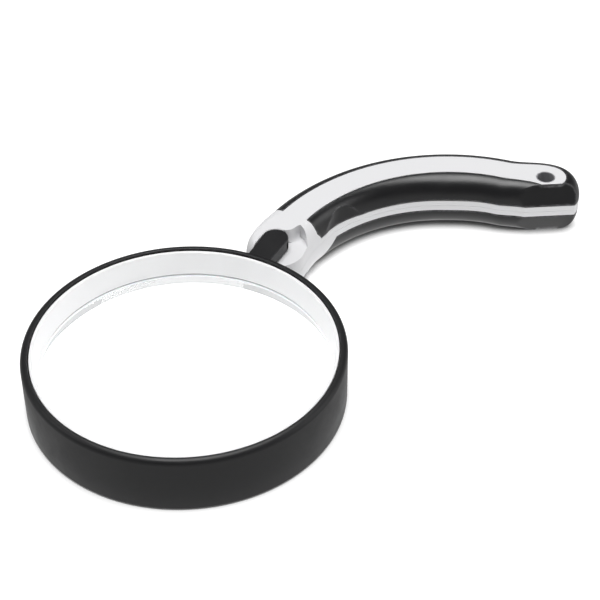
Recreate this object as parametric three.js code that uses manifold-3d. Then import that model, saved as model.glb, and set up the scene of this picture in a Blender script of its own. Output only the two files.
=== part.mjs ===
// Folding magnifying glass: a clear round lens in a black frame, and a curved handle in black and
// white that swings in against the frame. It lies flat with the handle open. Millimetres, +Z up.
// While it is built, the lens centre is at X = Y = 0 and the hinge is on +X.

import * as THREE from "three";
import { mergeVertices } from "three/addons/utils/BufferGeometryUtils.js";
import Module from "manifold-3d";

const wasm = await Module();
wasm.setup();

// Lens frame
const frameDiameter = 102;
const frameHeight = 20;
const frameWall = 2.4;
const frameTopRound = 1.8;
const frameFootRound = 1;
const frameRimBreak = 0.4;
const frameLipReach = 1.8;
const frameLipHeight = 1.4;

// Lens and its liners
const lensCurve = 245;
const lensEdgeHeight = 2.5;
const lensLand = 0.9;
const lensTopDrop = 9;
const linerGap = 0.3;
const linerWall = 1.7;
const linerDraft = 0.9;
const linerTopDrop = 0.7;
const linerLip = 1;
const gasketHeight = 0.5;
const seatGap = 0.05;

// Hinge between the two ears of the frame and the barrel of the handle
const barrelDraw = 0.5;
const foldAngle = 97;
const earHeight = 4.5;
const earHeadRadius = 4.3;
const earRootHalfWidth = 4.1;
const earEdgeBreak = 0.3;
const earGap = 0.3;
const earFaceGap = 0.5;
const barrelGap = 0.3;
const screwRadius = 1.5;
const screwHeadRadius = 2.6;
const screwHeadHeight = 1.6;
const screwHeadSink = 0.5;
const screwSlotWidth = 0.9;
const screwSlotDepth = 0.7;
const bushWall = 1;
const insertWall = 0.9;
const insertCover = 1.2;
const turnGap = 0.1;
const washerReach = 0.8;
const waveHeight = 0.12;
const waveCount = 3;

// Click ball and its spring, which lie in the handle and face the rim of the upper ear
const ballRadius = 0.75;
const ballBearing = 65;
const ballCrownGap = 0.05;
const dimpleDepth = 0.4;
const springWire = 0.22;
const springTurns = 3;
const springPitch = 0.6;

// Handle, whose centre line is an arc that lies round the frame when the handle is folded
const handleSweep = 104.9;
const gripHalfWidth = 10.6;
const foldClearance = 0.7;
const collarDraw = 1.3;
const tailSpread = 1.8;
const stripHalfWidth = 4.7;
const barrelStripHalfWidth = 7;
const tailStripHalfWidth = 5.9;
const stripeHeight = 4;
const waistDepth = 0.8;
const flareReach = 1.3;
const tailRadius = 11.4;
const tailShift = 3.65;
const facetTurn = 39;
const facetReach = 7.4;
const facetTopReach = 4.6;
const facetLength = 40;
const gripDepth = 1.6;
const gripGap = 0.25;
const shellWall = 1.4;
const collarSweep = 13.4;
const stripeStopAngle = 6.7;
const wrapStopAngle = 51;

// Where the handle's width changes, as shares of its sweep from the hinge
const collarBlendShare = 0.14;
const spreadStartShare = 0.2;
const spreadEndShare = 0.95;
const waistShare = 0.27;
const waistSpreadShare = 0.17;
const flareStartShare = 0.68;
const tailBlendShare = 0.87;
const cavityStartShare = 0.19;
const cavityEndShare = 0.84;

// Lanyard hole in the tail
const eyeletBore = 2.9;
const eyeletWall = 0.35;
const eyeletGap = 0.2;
const eyeletInset = 1.2;
const eyeletBackSweep = 0.7;

// Case screws, as shares of the handle's sweep
const caseScrewShares = [0.25, 0.52, 0.78];
const caseScrewRadius = 1.1;
const caseScrewHeadRadius = 1.9;
const caseScrewHeadHeight = 1.3;
const caseScrewSink = 0.6;
const caseScrewLength = 12;
const caseScrewGap = 0.2;
const bossWall = 1.4;

// Release button, and the pawl that it turns
const buttonWidth = 5.4;
const buttonHeight = 4.4;
const buttonGap = 0.25;
const buttonProud = 0.25;
const buttonDepth = 3.7;
const buttonTravel = 1;
const buttonAlong = 9;
const buttonTopDrop = 1.2;
const stemWidth = 1.3;
const stemAside = 1.9;
const pawlHeight = 2.2;
const pawlWidth = 2;
const pawlDrop = 1.6;
const pawlGap = 0.3;
const pawlNoseBearing = 20;
const pawlNoseWidth = 1.4;
const pawlPinRadius = 0.8;
const pawlPinAlong = 8.4;
const pawlPinAside = 1;
const pawlPinRise = 0.9;
const notchDepth = 1.1;
const returnSpringWire = 0.25;
const returnSpringRadius = 0.8;
const returnSpringAside = 1.6;
const returnSpringTurns = 4;
const returnSpringPitch = 0.75;

// Facets
const ringSides = 64;
const roundSides = 20;
const capSteps = 10;
const stationSteps = 22;
const earHeadSteps = 18;
const lensFaceSteps = 4;
const coilSteps = 8;
const coilSides = 5;
const flankShares = [0, 0.28, 0.54, 0.77, 0.92, 1];
const overrun = 2;

// Worked out from the sizes above
const frameRadius = frameDiameter / 2;
const boreRadius = frameRadius - frameWall;
const barrelRadius = gripHalfWidth - barrelDraw;
const hinge = new THREE.Vector2(frameRadius + barrelRadius + barrelGap, 0);
const upperEarZ = frameHeight - earHeight;
const lowerEarZ = earHeight;
const handleHeight = frameHeight;
const midZ = handleHeight / 2;
const arcCentre = hinge.clone().add(bearing(180 + foldAngle, hinge.x));
const midRadius = frameRadius + foldClearance + gripHalfWidth;
const tailAngle = foldAngle - handleSweep;
const tailCentreRadius = midRadius + tailSpread + tailShift;

// A vector of the given length, turned by an angle in degrees from +X
function bearing(angle, length) {
  const turn = THREE.MathUtils.degToRad(angle);
  return new THREE.Vector2(Math.cos(turn) * length, Math.sin(turn) * length);
}

// A place on the handle by angle about its arc's centre and distance from it
function onArc(angle, radius) {
  return arcCentre.clone().add(bearing(angle, radius));
}

function smooth(value, low, high) {
  return THREE.MathUtils.smoothstep(value, low, high);
}

// A bell of height 1 at the middle, which ends flat at the spread
function bell(value, middle, spread) {
  return 1 - smooth(Math.abs(value - middle), 0, spread);
}

// Solids, and back to meshes
function toSolid(geometry) {
  const bare = geometry.clone();
  bare.deleteAttribute("normal");
  bare.deleteAttribute("uv");
  const merged = mergeVertices(bare);
  const index = merged.index.array;
  const triangles = [];
  for (let i = 0; i < index.length; i += 3) {
    const [a, b, c] = [index[i], index[i + 1], index[i + 2]];
    if (a !== b && b !== c && c !== a) {
      triangles.push(a, b, c);
    }
  }
  return new wasm.Manifold(new wasm.Mesh({
    numProp: 3,
    vertProperties: new Float32Array(merged.attributes.position.array),
    triVerts: new Uint32Array(triangles),
  }));
}

function toGeometry(solid) {
  const mesh = solid.getMesh();
  const geometry = new THREE.BufferGeometry();
  geometry.setAttribute("position", new THREE.BufferAttribute(new Float32Array(mesh.vertProperties), 3));
  geometry.setIndex(new THREE.BufferAttribute(new Uint32Array(mesh.triVerts), 1));
  geometry.computeVertexNormals();
  return geometry;
}

function join(first, ...others) {
  return others.reduce((whole, other) => whole.add(other), first);
}

function cut(first, ...others) {
  return others.reduce((whole, other) => whole.subtract(other), first);
}

// A closed profile of [radius, height] points turned round the axis through centre
function turned(profile, centre = new THREE.Vector2(), sides = roundSides) {
  const points = profile.map(([radius, height]) => new THREE.Vector2(radius, height));
  const geometry = new THREE.LatheGeometry(points, sides);
  geometry.rotateX(Math.PI / 2);
  geometry.translate(centre.x, centre.y, 0);
  return toSolid(geometry);
}

function disc(centre, radius, low, high, sides = roundSides) {
  return turned([[0, low], [radius, low], [radius, high], [0, high]], centre, sides);
}

function tube(centre, inner, outer, low, high, sides = roundSides) {
  return turned([[inner, low], [outer, low], [outer, high], [inner, high], [inner, low]], centre, sides);
}

// A geometry that stands on z = 0, laid down level from a place towards a bearing
function laid(geometry, place, z, angle) {
  geometry.rotateX(-Math.PI / 2);
  geometry.rotateZ(THREE.MathUtils.degToRad(angle - 90));
  geometry.translate(place.x, place.y, z);
  return toSolid(geometry);
}

function rod(radius, length) {
  return new THREE.CylinderGeometry(radius, radius, length, roundSides)
    .rotateX(Math.PI / 2)
    .translate(0, 0, length / 2);
}

function ball(centre, radius, z) {
  const geometry = new THREE.SphereGeometry(radius, roundSides / 2, roundSides / 3);
  geometry.rotateX(Math.PI / 2);
  geometry.translate(centre.x, centre.y, z);
  return toSolid(geometry);
}

// A plan outline raised between two heights, with an optional break on its edges
function prism(outline, low, high, edgeBreak = 0) {
  const geometry = new THREE.ExtrudeGeometry(new THREE.Shape(outline), {
    depth: high - low - 2 * edgeBreak,
    bevelEnabled: edgeBreak > 0,
    bevelThickness: edgeBreak,
    bevelSize: edgeBreak,
    bevelOffset: -edgeBreak,
    bevelSegments: 1,
  });
  geometry.translate(0, 0, low + edgeBreak);
  return toSolid(geometry);
}

function box(low, high) {
  const size = high.clone().sub(low);
  const geometry = new THREE.BoxGeometry(size.x, size.y, size.z);
  geometry.translate((low.x + high.x) / 2, (low.y + high.y) / 2, (low.z + high.z) / 2);
  return toSolid(geometry);
}

// Plan outlines of equal point count, one above the other, joined into one closed body
function stacked(layers) {
  const count = layers[0].outline.length;
  const places = [];
  for (const { z, outline } of layers) {
    for (const point of outline) {
      places.push(point.x, point.y, z);
    }
  }
  const faces = [];
  for (let layer = 0; layer < layers.length - 1; layer++) {
    for (let i = 0; i < count; i++) {
      const a = layer * count + i;
      const b = layer * count + (i + 1) % count;
      faces.push(a, b, b + count, a, b + count, a + count);
    }
  }
  const top = (layers.length - 1) * count;
  for (const [a, b, c] of THREE.ShapeUtils.triangulateShape(layers[0].outline, [])) {
    faces.push(a, c, b);
  }
  for (const [a, b, c] of THREE.ShapeUtils.triangulateShape(layers[layers.length - 1].outline, [])) {
    faces.push(top + a, top + b, top + c);
  }
  const geometry = new THREE.BufferGeometry();
  geometry.setAttribute("position", new THREE.Float32BufferAttribute(places, 3));
  geometry.setIndex(faces);
  return toSolid(geometry);
}

// A round wire wound up a helix round the Z axis, from z = 0
function coil(radius, wire, turns, pitch) {
  const rings = turns * coilSteps;
  const places = [];
  for (let step = 0; step <= rings; step++) {
    const turn = (step / coilSteps) * 360;
    for (let side = 0; side < coilSides; side++) {
      const around = bearing((side / coilSides) * 360, wire / 2);
      const place = bearing(turn, radius + around.x);
      places.push(place.x, place.y, wire / 2 + (step / coilSteps) * pitch + around.y);
    }
  }
  const faces = [];
  for (let step = 0; step < rings; step++) {
    for (let side = 0; side < coilSides; side++) {
      const a = step * coilSides + side;
      const b = step * coilSides + (side + 1) % coilSides;
      faces.push(a, b + coilSides, b, a, a + coilSides, b + coilSides);
    }
  }
  const last = rings * coilSides;
  for (let side = 1; side < coilSides - 1; side++) {
    faces.push(0, side, side + 1, last, last + side + 1, last + side);
  }
  const geometry = new THREE.BufferGeometry();
  geometry.setAttribute("position", new THREE.Float32BufferAttribute(places, 3));
  geometry.setIndex(faces);
  return geometry;
}

// An arc of points about a centre, angles in degrees
function arcPoints(centre, radius, start, end, steps) {
  const points = [];
  for (let i = 0; i <= steps; i++) {
    points.push(centre.clone().add(bearing(start + ((end - start) * i) / steps, radius)));
  }
  return points;
}

// The handle's centre line and walls, by share of its sweep from the hinge to the tail
function arcAngle(share) {
  return foldAngle - handleSweep * share;
}

function fromHinge(share) {
  return smooth(share, 0, collarBlendShare);
}

function toTail(share) {
  return smooth(share, tailBlendShare, 1);
}

function centreRadius(share) {
  const spread = smooth(share, spreadStartShare, spreadEndShare);
  const drift = THREE.MathUtils.lerp(-collarDraw, tailSpread, spread);
  return THREE.MathUtils.lerp(hinge.x, midRadius + drift, fromHinge(share)) + tailShift * toTail(share);
}

function outerRadius(share) {
  const grip = THREE.MathUtils.lerp(barrelRadius, gripHalfWidth, fromHinge(share));
  return centreRadius(share) + THREE.MathUtils.lerp(grip, tailRadius, toTail(share));
}

// The concave wall lies round the frame when folded, but for the tail's flare
function innerRadius(share) {
  const nested = THREE.MathUtils.lerp(hinge.x - barrelRadius, frameRadius + foldClearance, fromHinge(share));
  const flare = flareReach * smooth(share, flareStartShare, tailBlendShare);
  return THREE.MathUtils.lerp(nested + flare, tailCentreRadius - tailRadius, toTail(share));
}

function topHalfWidth(share) {
  const strip = THREE.MathUtils.lerp(barrelStripHalfWidth, stripHalfWidth, fromHinge(share));
  return THREE.MathUtils.lerp(strip, tailStripHalfWidth, toTail(share));
}

// A scoop for the thumb, cut upright into the concave wall
function thumbScoop(share) {
  return waistDepth * bell(share, waistShare, waistSpreadShare);
}

// One level of the handle: spread 1 is its full width and spread 0 the flat strip's
function handleOutline(spread, inset, shares) {
  const outer = [];
  const inner = [];
  let width = 0;
  for (let i = 0; i <= stationSteps; i++) {
    const share = THREE.MathUtils.lerp(shares[0], shares[1], i / stationSteps);
    const middle = centreRadius(share);
    const strip = topHalfWidth(share) - inset.strip;
    const outerWidth = outerRadius(share) - middle - inset.side;
    const innerWidth = middle - innerRadius(share) - inset.side;
    width = THREE.MathUtils.lerp(strip, outerWidth, spread);
    outer.push(onArc(arcAngle(share), middle + width));
    const scooped = Math.min(THREE.MathUtils.lerp(strip, innerWidth, spread), innerWidth - thumbScoop(share));
    inner.push(onArc(arcAngle(share), middle - scooped));
  }
  const outline = outer.toReversed();
  if (shares[0] === 0) {
    const around = outer[0].distanceTo(hinge);
    outline.push(...arcPoints(hinge, around, foldAngle, foldAngle + 180, capSteps).slice(1, -1));
  }
  outline.push(...inner);
  if (shares[1] === 1) {
    const tail = onArc(tailAngle, tailCentreRadius);
    outline.push(...arcPoints(tail, width, tailAngle + 180, tailAngle + 360, capSteps).slice(1, -1));
  }
  return outline;
}

// A profile of [reach, height] points, pushed level past the tail with reach along the facet's bearing
function pushed(profile) {
  const shape = new THREE.Shape(profile.map(([reach, height]) => new THREE.Vector2(reach, height)));
  const geometry = new THREE.ExtrudeGeometry(shape, { depth: facetLength, bevelEnabled: false });
  const tail = onArc(tailAngle, tailCentreRadius);
  geometry.translate(0, 0, -facetLength / 2);
  geometry.rotateX(Math.PI / 2);
  geometry.rotateZ(THREE.MathUtils.degToRad(tailAngle + 180 + facetTurn));
  geometry.translate(tail.x, tail.y, 0);
  return toSolid(geometry);
}

// What the flat facet takes off the tail: upright at the stripe, and leaning in above and below it
function tailFacet(inset) {
  const reach = facetReach - inset;
  const lean = (facetReach - facetTopReach) / (midZ - stripeHeight / 2);
  const high = midZ + overrun;
  const rise = high - stripeHeight / 2;
  return pushed([
    [reach, midZ - stripeHeight / 2],
    [reach - lean * rise, midZ - high],
    [facetLength, midZ - high],
    [facetLength, midZ + high],
    [reach - lean * rise, midZ + high],
    [reach, midZ + stripeHeight / 2],
  ]);
}

// The handle's body, drawn in by a side, a face and a strip inset
function handleBody(inset, shares = [0, 1]) {
  const rise = handleHeight / 2 - stripeHeight / 2 - inset.face;
  const upper = flankShares.map((share) => {
    const turn = (share * Math.PI) / 2;
    return { lift: stripeHeight / 2 + rise * Math.sin(turn), spread: Math.cos(turn) };
  });
  const layer = ({ lift, spread }, sign) => ({
    z: midZ + sign * lift,
    outline: handleOutline(Math.max(spread, 0), inset, shares),
  });
  const below = upper.map((level) => layer(level, -1)).reverse();
  const above = upper.map((level) => layer(level, 1));
  return cut(stacked([...below, ...above]), tailFacet(inset.side));
}

// The upright block over the handle's flat strips
function stripBlock(extra, low, high) {
  const outline = handleOutline(0, { side: 0, face: 0, strip: -extra }, [0, 1]);
  const reach = facetTopReach + extra;
  const beyond = pushed([[reach, low], [facetLength, low], [facetLength, high], [reach, high]]);
  return cut(prism(outline, low, high), beyond);
}

// A plan wedge of the handle between two angles about the arc's centre
function arcWedge(start, end, low, high) {
  const near = frameRadius - gripHalfWidth;
  const far = tailCentreRadius + 2 * gripHalfWidth;
  const steps = Math.ceil(Math.abs(end - start) / 15);
  const outline = [
    ...arcPoints(arcCentre, far, start, end, steps),
    ...arcPoints(arcCentre, near, end, start, steps),
  ];
  return prism(outline, low, high);
}

// Plan area past the stripe's two ends, where the soft grip covers the tail's full height
function tailWrap(backOff, low, high) {
  const tail = onArc(tailAngle, tailCentreRadius);
  const far = 2 * tailRadius;
  const start = stripeStopAngle - backOff;
  const outline = [
    tail,
    tail.clone().add(bearing(backOff - wrapStopAngle, far)),
    tail.clone().add(bearing(tailAngle, far + tailRadius)),
    onArc(start, tailCentreRadius + far),
    onArc(start, tailCentreRadius),
  ];
  return prism(outline, low, high);
}

// The angle that a length spans along the handle's arc
function sweepOf(length) {
  return THREE.MathUtils.radToDeg(length / midRadius);
}

const noInset = { side: 0, face: 0, strip: 0 };
const handleTop = handleHeight + overrun;
const handleFloor = -overrun;

// The space of the two soft grips, with a gap all round when it is for the grips themselves
function gripSpace(gap) {
  const depth = gripDepth - gap;
  const body = handleBody(gap > 0 ? noInset : { side: -overrun, face: -overrun, strip: 0 });
  const core = handleBody({ side: depth, face: depth, strip: 0 });
  const collarEnd = foldAngle - collarSweep - sweepOf(gap);
  const collar = arcWedge(collarEnd, foldAngle + 2 * collarSweep, handleFloor, handleTop);
  const strip = stripBlock(gap, handleFloor, handleTop);
  const reach = stripeHeight / 2 + gap;
  const everywhere = arcWedge(foldAngle, tailAngle - handleSweep / 2, midZ - reach, midZ + reach);
  const stripe = cut(everywhere, tailWrap(sweepOf(gap), handleFloor, handleTop));
  return cut(body, core, strip, collar, stripe);
}

// Ears: a plan outline from the frame's wall to a round head about the hinge
function earOutline(extra) {
  const root = boreRadius + frameWall / 2;
  return [
    new THREE.Vector2(root, -earRootHalfWidth - extra),
    ...arcPoints(hinge, earHeadRadius + extra, -96, 96, earHeadSteps),
    new THREE.Vector2(root, earRootHalfWidth + extra),
  ];
}

// Room for an ear in the handle's decks, from open round to folded
function earSweep(low, high) {
  const reach = earHeadRadius + earGap;
  const far = 3 * barrelRadius;
  const open = hinge.clone().add(bearing(90, reach));
  const stopSide = hinge.clone().add(bearing(foldAngle - 90, reach));
  const outline = [
    open,
    open.clone().add(bearing(180, far)),
    hinge.clone().add(bearing(180 + foldAngle / 2, 2 * far)),
    stopSide.clone().add(bearing(180 + foldAngle, far)),
    stopSide,
  ];
  return join(prism(outline, low, high), disc(hinge, reach, low, high, 2 * roundSides));
}

// Click ball and the far end of its bore, by distance from the hinge
const ballOffset = earHeadRadius + ballCrownGap + ballRadius;
const ballZ = upperEarZ + earHeight / 2;
const bushRadius = screwRadius + turnGap + bushWall;
const headZ = screwHeadSink + screwHeadHeight;
const screwTop = frameHeight - insertCover;
const detentSpringLength = springTurns * springPitch + springWire;
const detentSpringOffset = ballOffset + ballRadius + seatGap;
const ballBoreEnd = detentSpringOffset + detentSpringLength + seatGap;
const returnSpringLength = returnSpringTurns * returnSpringPitch + returnSpringWire;

// Lock: the button's middle, the pawl's pin and the nose beside the ear's head
const buttonX = hinge.x + buttonAlong;
const buttonTopZ = handleHeight - buttonTopDrop;
const buttonLowZ = buttonTopZ - buttonHeight;
const pawlTopZ = handleHeight - pawlDrop;
const pawlLowZ = pawlTopZ - pawlHeight;
const pawlPin = hinge.clone().add(new THREE.Vector2(pawlPinAlong, -pawlPinAside));
const noseTip = hinge.clone().add(bearing(pawlNoseBearing, earHeadRadius + pawlGap));
const stemX = buttonX + stemAside;
const buttonShare = sweepOf(buttonAlong) / handleSweep;
const buttonFaceY = onArc(arcAngle(buttonShare), outerRadius(buttonShare)).y;
const buttonBackY = buttonFaceY - buttonDepth;
const stemEndY = buttonBackY - buttonDepth;
const tailTip = new THREE.Vector2(stemX, stemEndY - pawlGap);
const pawlSwing = THREE.MathUtils.radToDeg(buttonTravel / (stemX - pawlPin.x));

function lensFrame() {
  const lipRadius = boreRadius - frameLipReach;
  const topArc = arcPoints(
    new THREE.Vector2(frameRadius - frameTopRound, frameHeight - frameTopRound), frameTopRound, 0, 90, 4);
  const footArc = arcPoints(
    new THREE.Vector2(frameRadius - frameFootRound, frameFootRound), frameFootRound, -90, 0, 3);
  const profile = [
    [lipRadius, 0],
    ...footArc.map((point) => [point.x, point.y]),
    ...topArc.map((point) => [point.x, point.y]),
    [boreRadius, frameHeight - frameRimBreak],
    [boreRadius, frameLipHeight],
    [lipRadius, frameLipHeight],
    [lipRadius, 0],
  ];
  const ring = turned(profile, new THREE.Vector2(), ringSides);
  const upperEar = prism(earOutline(0), upperEarZ, frameHeight, earEdgeBreak);
  const lowerEar = prism(earOutline(0), 0, lowerEarZ, earEdgeBreak);
  const insertHole = disc(hinge, screwRadius + insertWall + turnGap, upperEarZ - overrun, screwTop);
  const screwHole = disc(hinge, screwRadius + turnGap, -overrun, lowerEarZ + overrun);
  const headHole = disc(hinge, screwHeadRadius + turnGap, -overrun, headZ);
  const dimples = [ballBearing, ballBearing - foldAngle].map((angle) => {
    const place = hinge.clone().add(bearing(angle, ballOffset - dimpleDepth));
    return ball(place, ballRadius + turnGap, ballZ);
  });
  const notches = [pawlNoseBearing, pawlNoseBearing - foldAngle].map((angle) => {
    const across = bearing(angle + 90, pawlNoseWidth / 2 + pawlGap);
    const inner = hinge.clone().add(bearing(angle, earHeadRadius - notchDepth));
    const outer = hinge.clone().add(bearing(angle, earHeadRadius + overrun));
    const outline = [
      inner.clone().sub(across),
      outer.clone().sub(across),
      outer.clone().add(across),
      inner.clone().add(across),
    ];
    return prism(outline, pawlLowZ - pawlGap, pawlTopZ + pawlGap);
  });
  return cut(join(ring, upperEar, lowerEar), insertHole, screwHole, headHole, ...dimples, ...notches);
}

const linerOuter = boreRadius - linerGap;
const lensTopZ = frameHeight - lensTopDrop;
const lensLowZ = lensTopZ - lensEdgeHeight;
const lensRadius = linerOuter - linerLip - linerGap;
const lensFaceRadius = lensRadius - lensLand;

// A spherical face's [radius, rise] points from the centre to its edge
function lensFace(steps) {
  const edgeRise = Math.sqrt(lensCurve ** 2 - lensFaceRadius ** 2);
  const points = [];
  for (let i = 0; i <= steps; i++) {
    const radius = (lensFaceRadius * i) / steps;
    points.push([radius, Math.sqrt(lensCurve ** 2 - radius ** 2) - edgeRise]);
  }
  return points;
}

function lens() {
  const face = lensFace(lensFaceSteps);
  const profile = [
    ...face.map(([radius, rise]) => [radius, lensLowZ - rise]),
    [lensRadius, lensLowZ],
    [lensRadius, lensTopZ],
    ...face.map(([radius, rise]) => [radius, lensTopZ + rise]).reverse(),
  ];
  return turned(profile, new THREE.Vector2(), ringSides);
}

function upperLiner() {
  const low = lensTopZ + seatGap;
  const high = frameHeight - linerTopDrop;
  const foot = linerOuter - linerWall - linerGap;
  return turned([
    [foot, low],
    [linerOuter, low],
    [linerOuter, high],
    [foot + linerDraft, high],
    [foot, low],
  ], new THREE.Vector2(), ringSides);
}

function lowerLiner() {
  const low = frameLipHeight + seatGap;
  const seat = lensLowZ - gasketHeight - 2 * seatGap;
  const lip = linerOuter - linerLip;
  const foot = linerOuter - linerWall - linerGap;
  return turned([
    [foot + linerDraft / 2, low],
    [linerOuter, low],
    [linerOuter, lensTopZ],
    [lip, lensTopZ],
    [lip, seat],
    [foot, seat],
    [foot + linerDraft / 2, low],
  ], new THREE.Vector2(), ringSides);
}

function lensGasket() {
  const high = lensLowZ - seatGap;
  const inner = lensFaceRadius + seatGap;
  return tube(new THREE.Vector2(), inner, lensRadius, high - gasketHeight, high, ringSides);
}

function hingeScrew() {
  const body = turned([
    [0, screwHeadSink],
    [screwHeadRadius, screwHeadSink],
    [screwHeadRadius, headZ - seatGap],
    [screwRadius, headZ - seatGap],
    [screwRadius, screwTop - turnGap],
    [0, screwTop - turnGap],
  ], hinge);
  const slot = box(
    new THREE.Vector3(hinge.x - screwHeadRadius - overrun, -screwSlotWidth / 2, -overrun),
    new THREE.Vector3(
      hinge.x + screwHeadRadius + overrun, screwSlotWidth / 2, screwHeadSink + screwSlotDepth));
  return cut(body, slot);
}

// The wavy washer, a flat ring whose height follows a sine round the hinge
function waveWasher(inner, outer, low, thickness) {
  const places = [];
  const section = [[inner, 0], [outer, 0], [outer, thickness], [inner, thickness]];
  const corners = section.length;
  const sides = 2 * roundSides;
  for (let i = 0; i < sides; i++) {
    const turn = (i / sides) * 360;
    const lift = waveHeight * (1 + Math.sin(waveCount * THREE.MathUtils.degToRad(turn))) / 2;
    for (const [radius, height] of section) {
      const place = hinge.clone().add(bearing(turn, radius));
      places.push(place.x, place.y, low + lift + height);
    }
  }
  const faces = [];
  for (let i = 0; i < sides; i++) {
    const next = (i + 1) % sides;
    for (let corner = 0; corner < corners; corner++) {
      const after = (corner + 1) % corners;
      const a = i * corners + corner;
      const b = i * corners + after;
      const c = next * corners + corner;
      const d = next * corners + after;
      faces.push(a, c, d, a, d, b);
    }
  }
  const geometry = new THREE.BufferGeometry();
  geometry.setAttribute("position", new THREE.Float32BufferAttribute(places, 3));
  geometry.setIndex(faces);
  return toSolid(geometry);
}

// Places of the case screws along the handle's centre line
const caseScrewPlaces = caseScrewShares.map((share) => onArc(arcAngle(share), centreRadius(share)));
const caseScrewTopZ = caseScrewSink + caseScrewHeadHeight + caseScrewLength;
const eyeletPlace = onArc(tailAngle + eyeletBackSweep, tailCentreRadius - eyeletInset);

// The pawl: a nose beside the ear's head, a hub on its pin and a tail under the button's stem
function pawl() {
  const arm = (from, to, width) => {
    const along = to.clone().sub(from).normalize();
    const across = new THREE.Vector2(-along.y, along.x).multiplyScalar(width / 2);
    return prism([
      from.clone().sub(across), to.clone().sub(across), to.clone().add(across), from.clone().add(across),
    ], pawlLowZ, pawlTopZ);
  };
  const hub = disc(pawlPin, pawlPinRadius + pawlWidth / 2, pawlLowZ, pawlTopZ);
  const hole = disc(pawlPin, pawlPinRadius + turnGap, pawlLowZ - overrun, pawlTopZ + overrun);
  const whole = join(hub, arm(pawlPin, noseTip, pawlNoseWidth), arm(pawlPin, tailTip, pawlNoseWidth));
  const clear = earHeadRadius + pawlGap;
  const earRoom = disc(hinge, clear, pawlLowZ - overrun, pawlTopZ + overrun, 2 * roundSides);
  return cut(whole, hole, earRoom, stemBox(pawlGap, stemEndY - pawlGap));
}

// Plan room for an arm that swings about a centre between two bearings
function swingRoom(centre, arm, swing, half) {
  const start = THREE.MathUtils.radToDeg(arm.angle());
  const reach = Math.hypot(arm.length() + pawlGap, half);
  const from = centre.clone().add(bearing(start + 90, half));
  const to = centre.clone().add(bearing(start - swing - 90, half));
  const spare = THREE.MathUtils.radToDeg(Math.atan2(half, arm.length()));
  const outline = [from, ...arcPoints(centre, reach, start + spare, start - swing - spare, 4), to];
  return prism(outline.toReversed(), pawlLowZ - pawlGap, pawlTopZ + pawlGap);
}

// Room for the pawl in the upper shell, open towards the ear and the button's stem
function pawlPocket() {
  const half = pawlNoseWidth / 2 + pawlGap;
  const hub = disc(pawlPin, pawlPinRadius + pawlWidth / 2 + pawlGap, pawlLowZ - pawlGap, pawlTopZ + pawlGap);
  const nose = swingRoom(pawlPin, noseTip.clone().sub(pawlPin), pawlSwing, half);
  const tail = swingRoom(pawlPin, tailTip.clone().sub(pawlPin), pawlSwing, half);
  return join(hub, nose, tail);
}

function buttonBox(gap, backY) {
  return box(
    new THREE.Vector3(buttonX - buttonWidth / 2 - gap, backY, buttonLowZ - gap),
    new THREE.Vector3(buttonX + buttonWidth / 2 + gap, 2 * barrelRadius, buttonTopZ + gap));
}

function stemBox(gap, endY) {
  return box(
    new THREE.Vector3(stemX - stemWidth / 2 - gap, endY, pawlLowZ - gap),
    new THREE.Vector3(stemX + stemWidth / 2 + gap, buttonBackY + overrun, pawlTopZ + gap));
}

function releaseButton() {
  const proud = handleBody({ side: -buttonProud, face: -buttonProud, strip: 0 });
  const cap = proud.intersect(buttonBox(0, buttonBackY));
  return join(cap, stemBox(0, stemEndY));
}

// The return spring lies along Y behind the button, beside its stem
const returnSpringZ = (buttonLowZ + buttonTopZ) / 2;

const returnSpringPlace = new THREE.Vector2(buttonX - returnSpringAside, buttonBackY - seatGap);

function returnSpring() {
  const geometry = coil(returnSpringRadius, returnSpringWire, returnSpringTurns, returnSpringPitch);
  return laid(geometry, returnSpringPlace, returnSpringZ, 270);
}

function returnSpringRoom() {
  const room = rod(returnSpringRadius + returnSpringWire, returnSpringLength + 2 * seatGap);
  return laid(room, returnSpringPlace, returnSpringZ, 270);
}

// Both shells as one solid, before they part at mid height
function shellBlank() {
  const cavityInset = gripDepth + shellWall;
  const cavity = handleBody(
    { side: cavityInset, face: cavityInset, strip: shellWall }, [cavityStartShare, cavityEndShare]);
  let body = cut(handleBody(noInset), gripSpace(0), cavity);
  const bossRadius = caseScrewRadius + bossWall;
  for (const place of caseScrewPlaces) {
    body = body.add(disc(place, bossRadius, cavityInset - shellWall, handleHeight - cavityInset + shellWall));
  }
  for (const place of caseScrewPlaces) {
    const headTop = caseScrewSink + caseScrewHeadHeight;
    const head = disc(place, caseScrewHeadRadius + caseScrewGap, -overrun, headTop);
    const shank = disc(place, caseScrewRadius + caseScrewGap, -overrun, caseScrewTopZ + caseScrewGap);
    body = cut(body, head, shank);
  }
  const eyeletHole = disc(eyeletPlace, eyeletBore + eyeletWall + eyeletGap, handleFloor, handleTop);
  const upperSweep = earSweep(upperEarZ - earFaceGap, handleTop);
  const lowerSweep = earSweep(handleFloor, lowerEarZ + earFaceGap);
  const bushHole = disc(hinge, bushRadius + turnGap, handleFloor, handleTop);
  const ballHole = laid(rod(ballRadius + turnGap, ballBoreEnd), hinge, ballZ, ballBearing);
  return cut(body, eyeletHole, upperSweep, lowerSweep, bushHole, ballHole);
}

function half(blank, low, high) {
  const reach = hinge.x + arcCentre.x + 2 * midRadius;
  return blank.intersect(box(new THREE.Vector3(-reach, -reach, low), new THREE.Vector3(reach, reach, high)));
}

const blank = shellBlank();
const lockRoom = join(
  buttonBox(buttonGap, buttonBackY - buttonTravel - buttonGap),
  stemBox(buttonGap, stemEndY - buttonTravel - buttonGap),
  pawlPocket(),
  returnSpringRoom(),
  disc(pawlPin, pawlPinRadius + turnGap, pawlLowZ - pawlPinRise, pawlTopZ + pawlPinRise));
const grips = gripSpace(gripGap);

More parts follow.
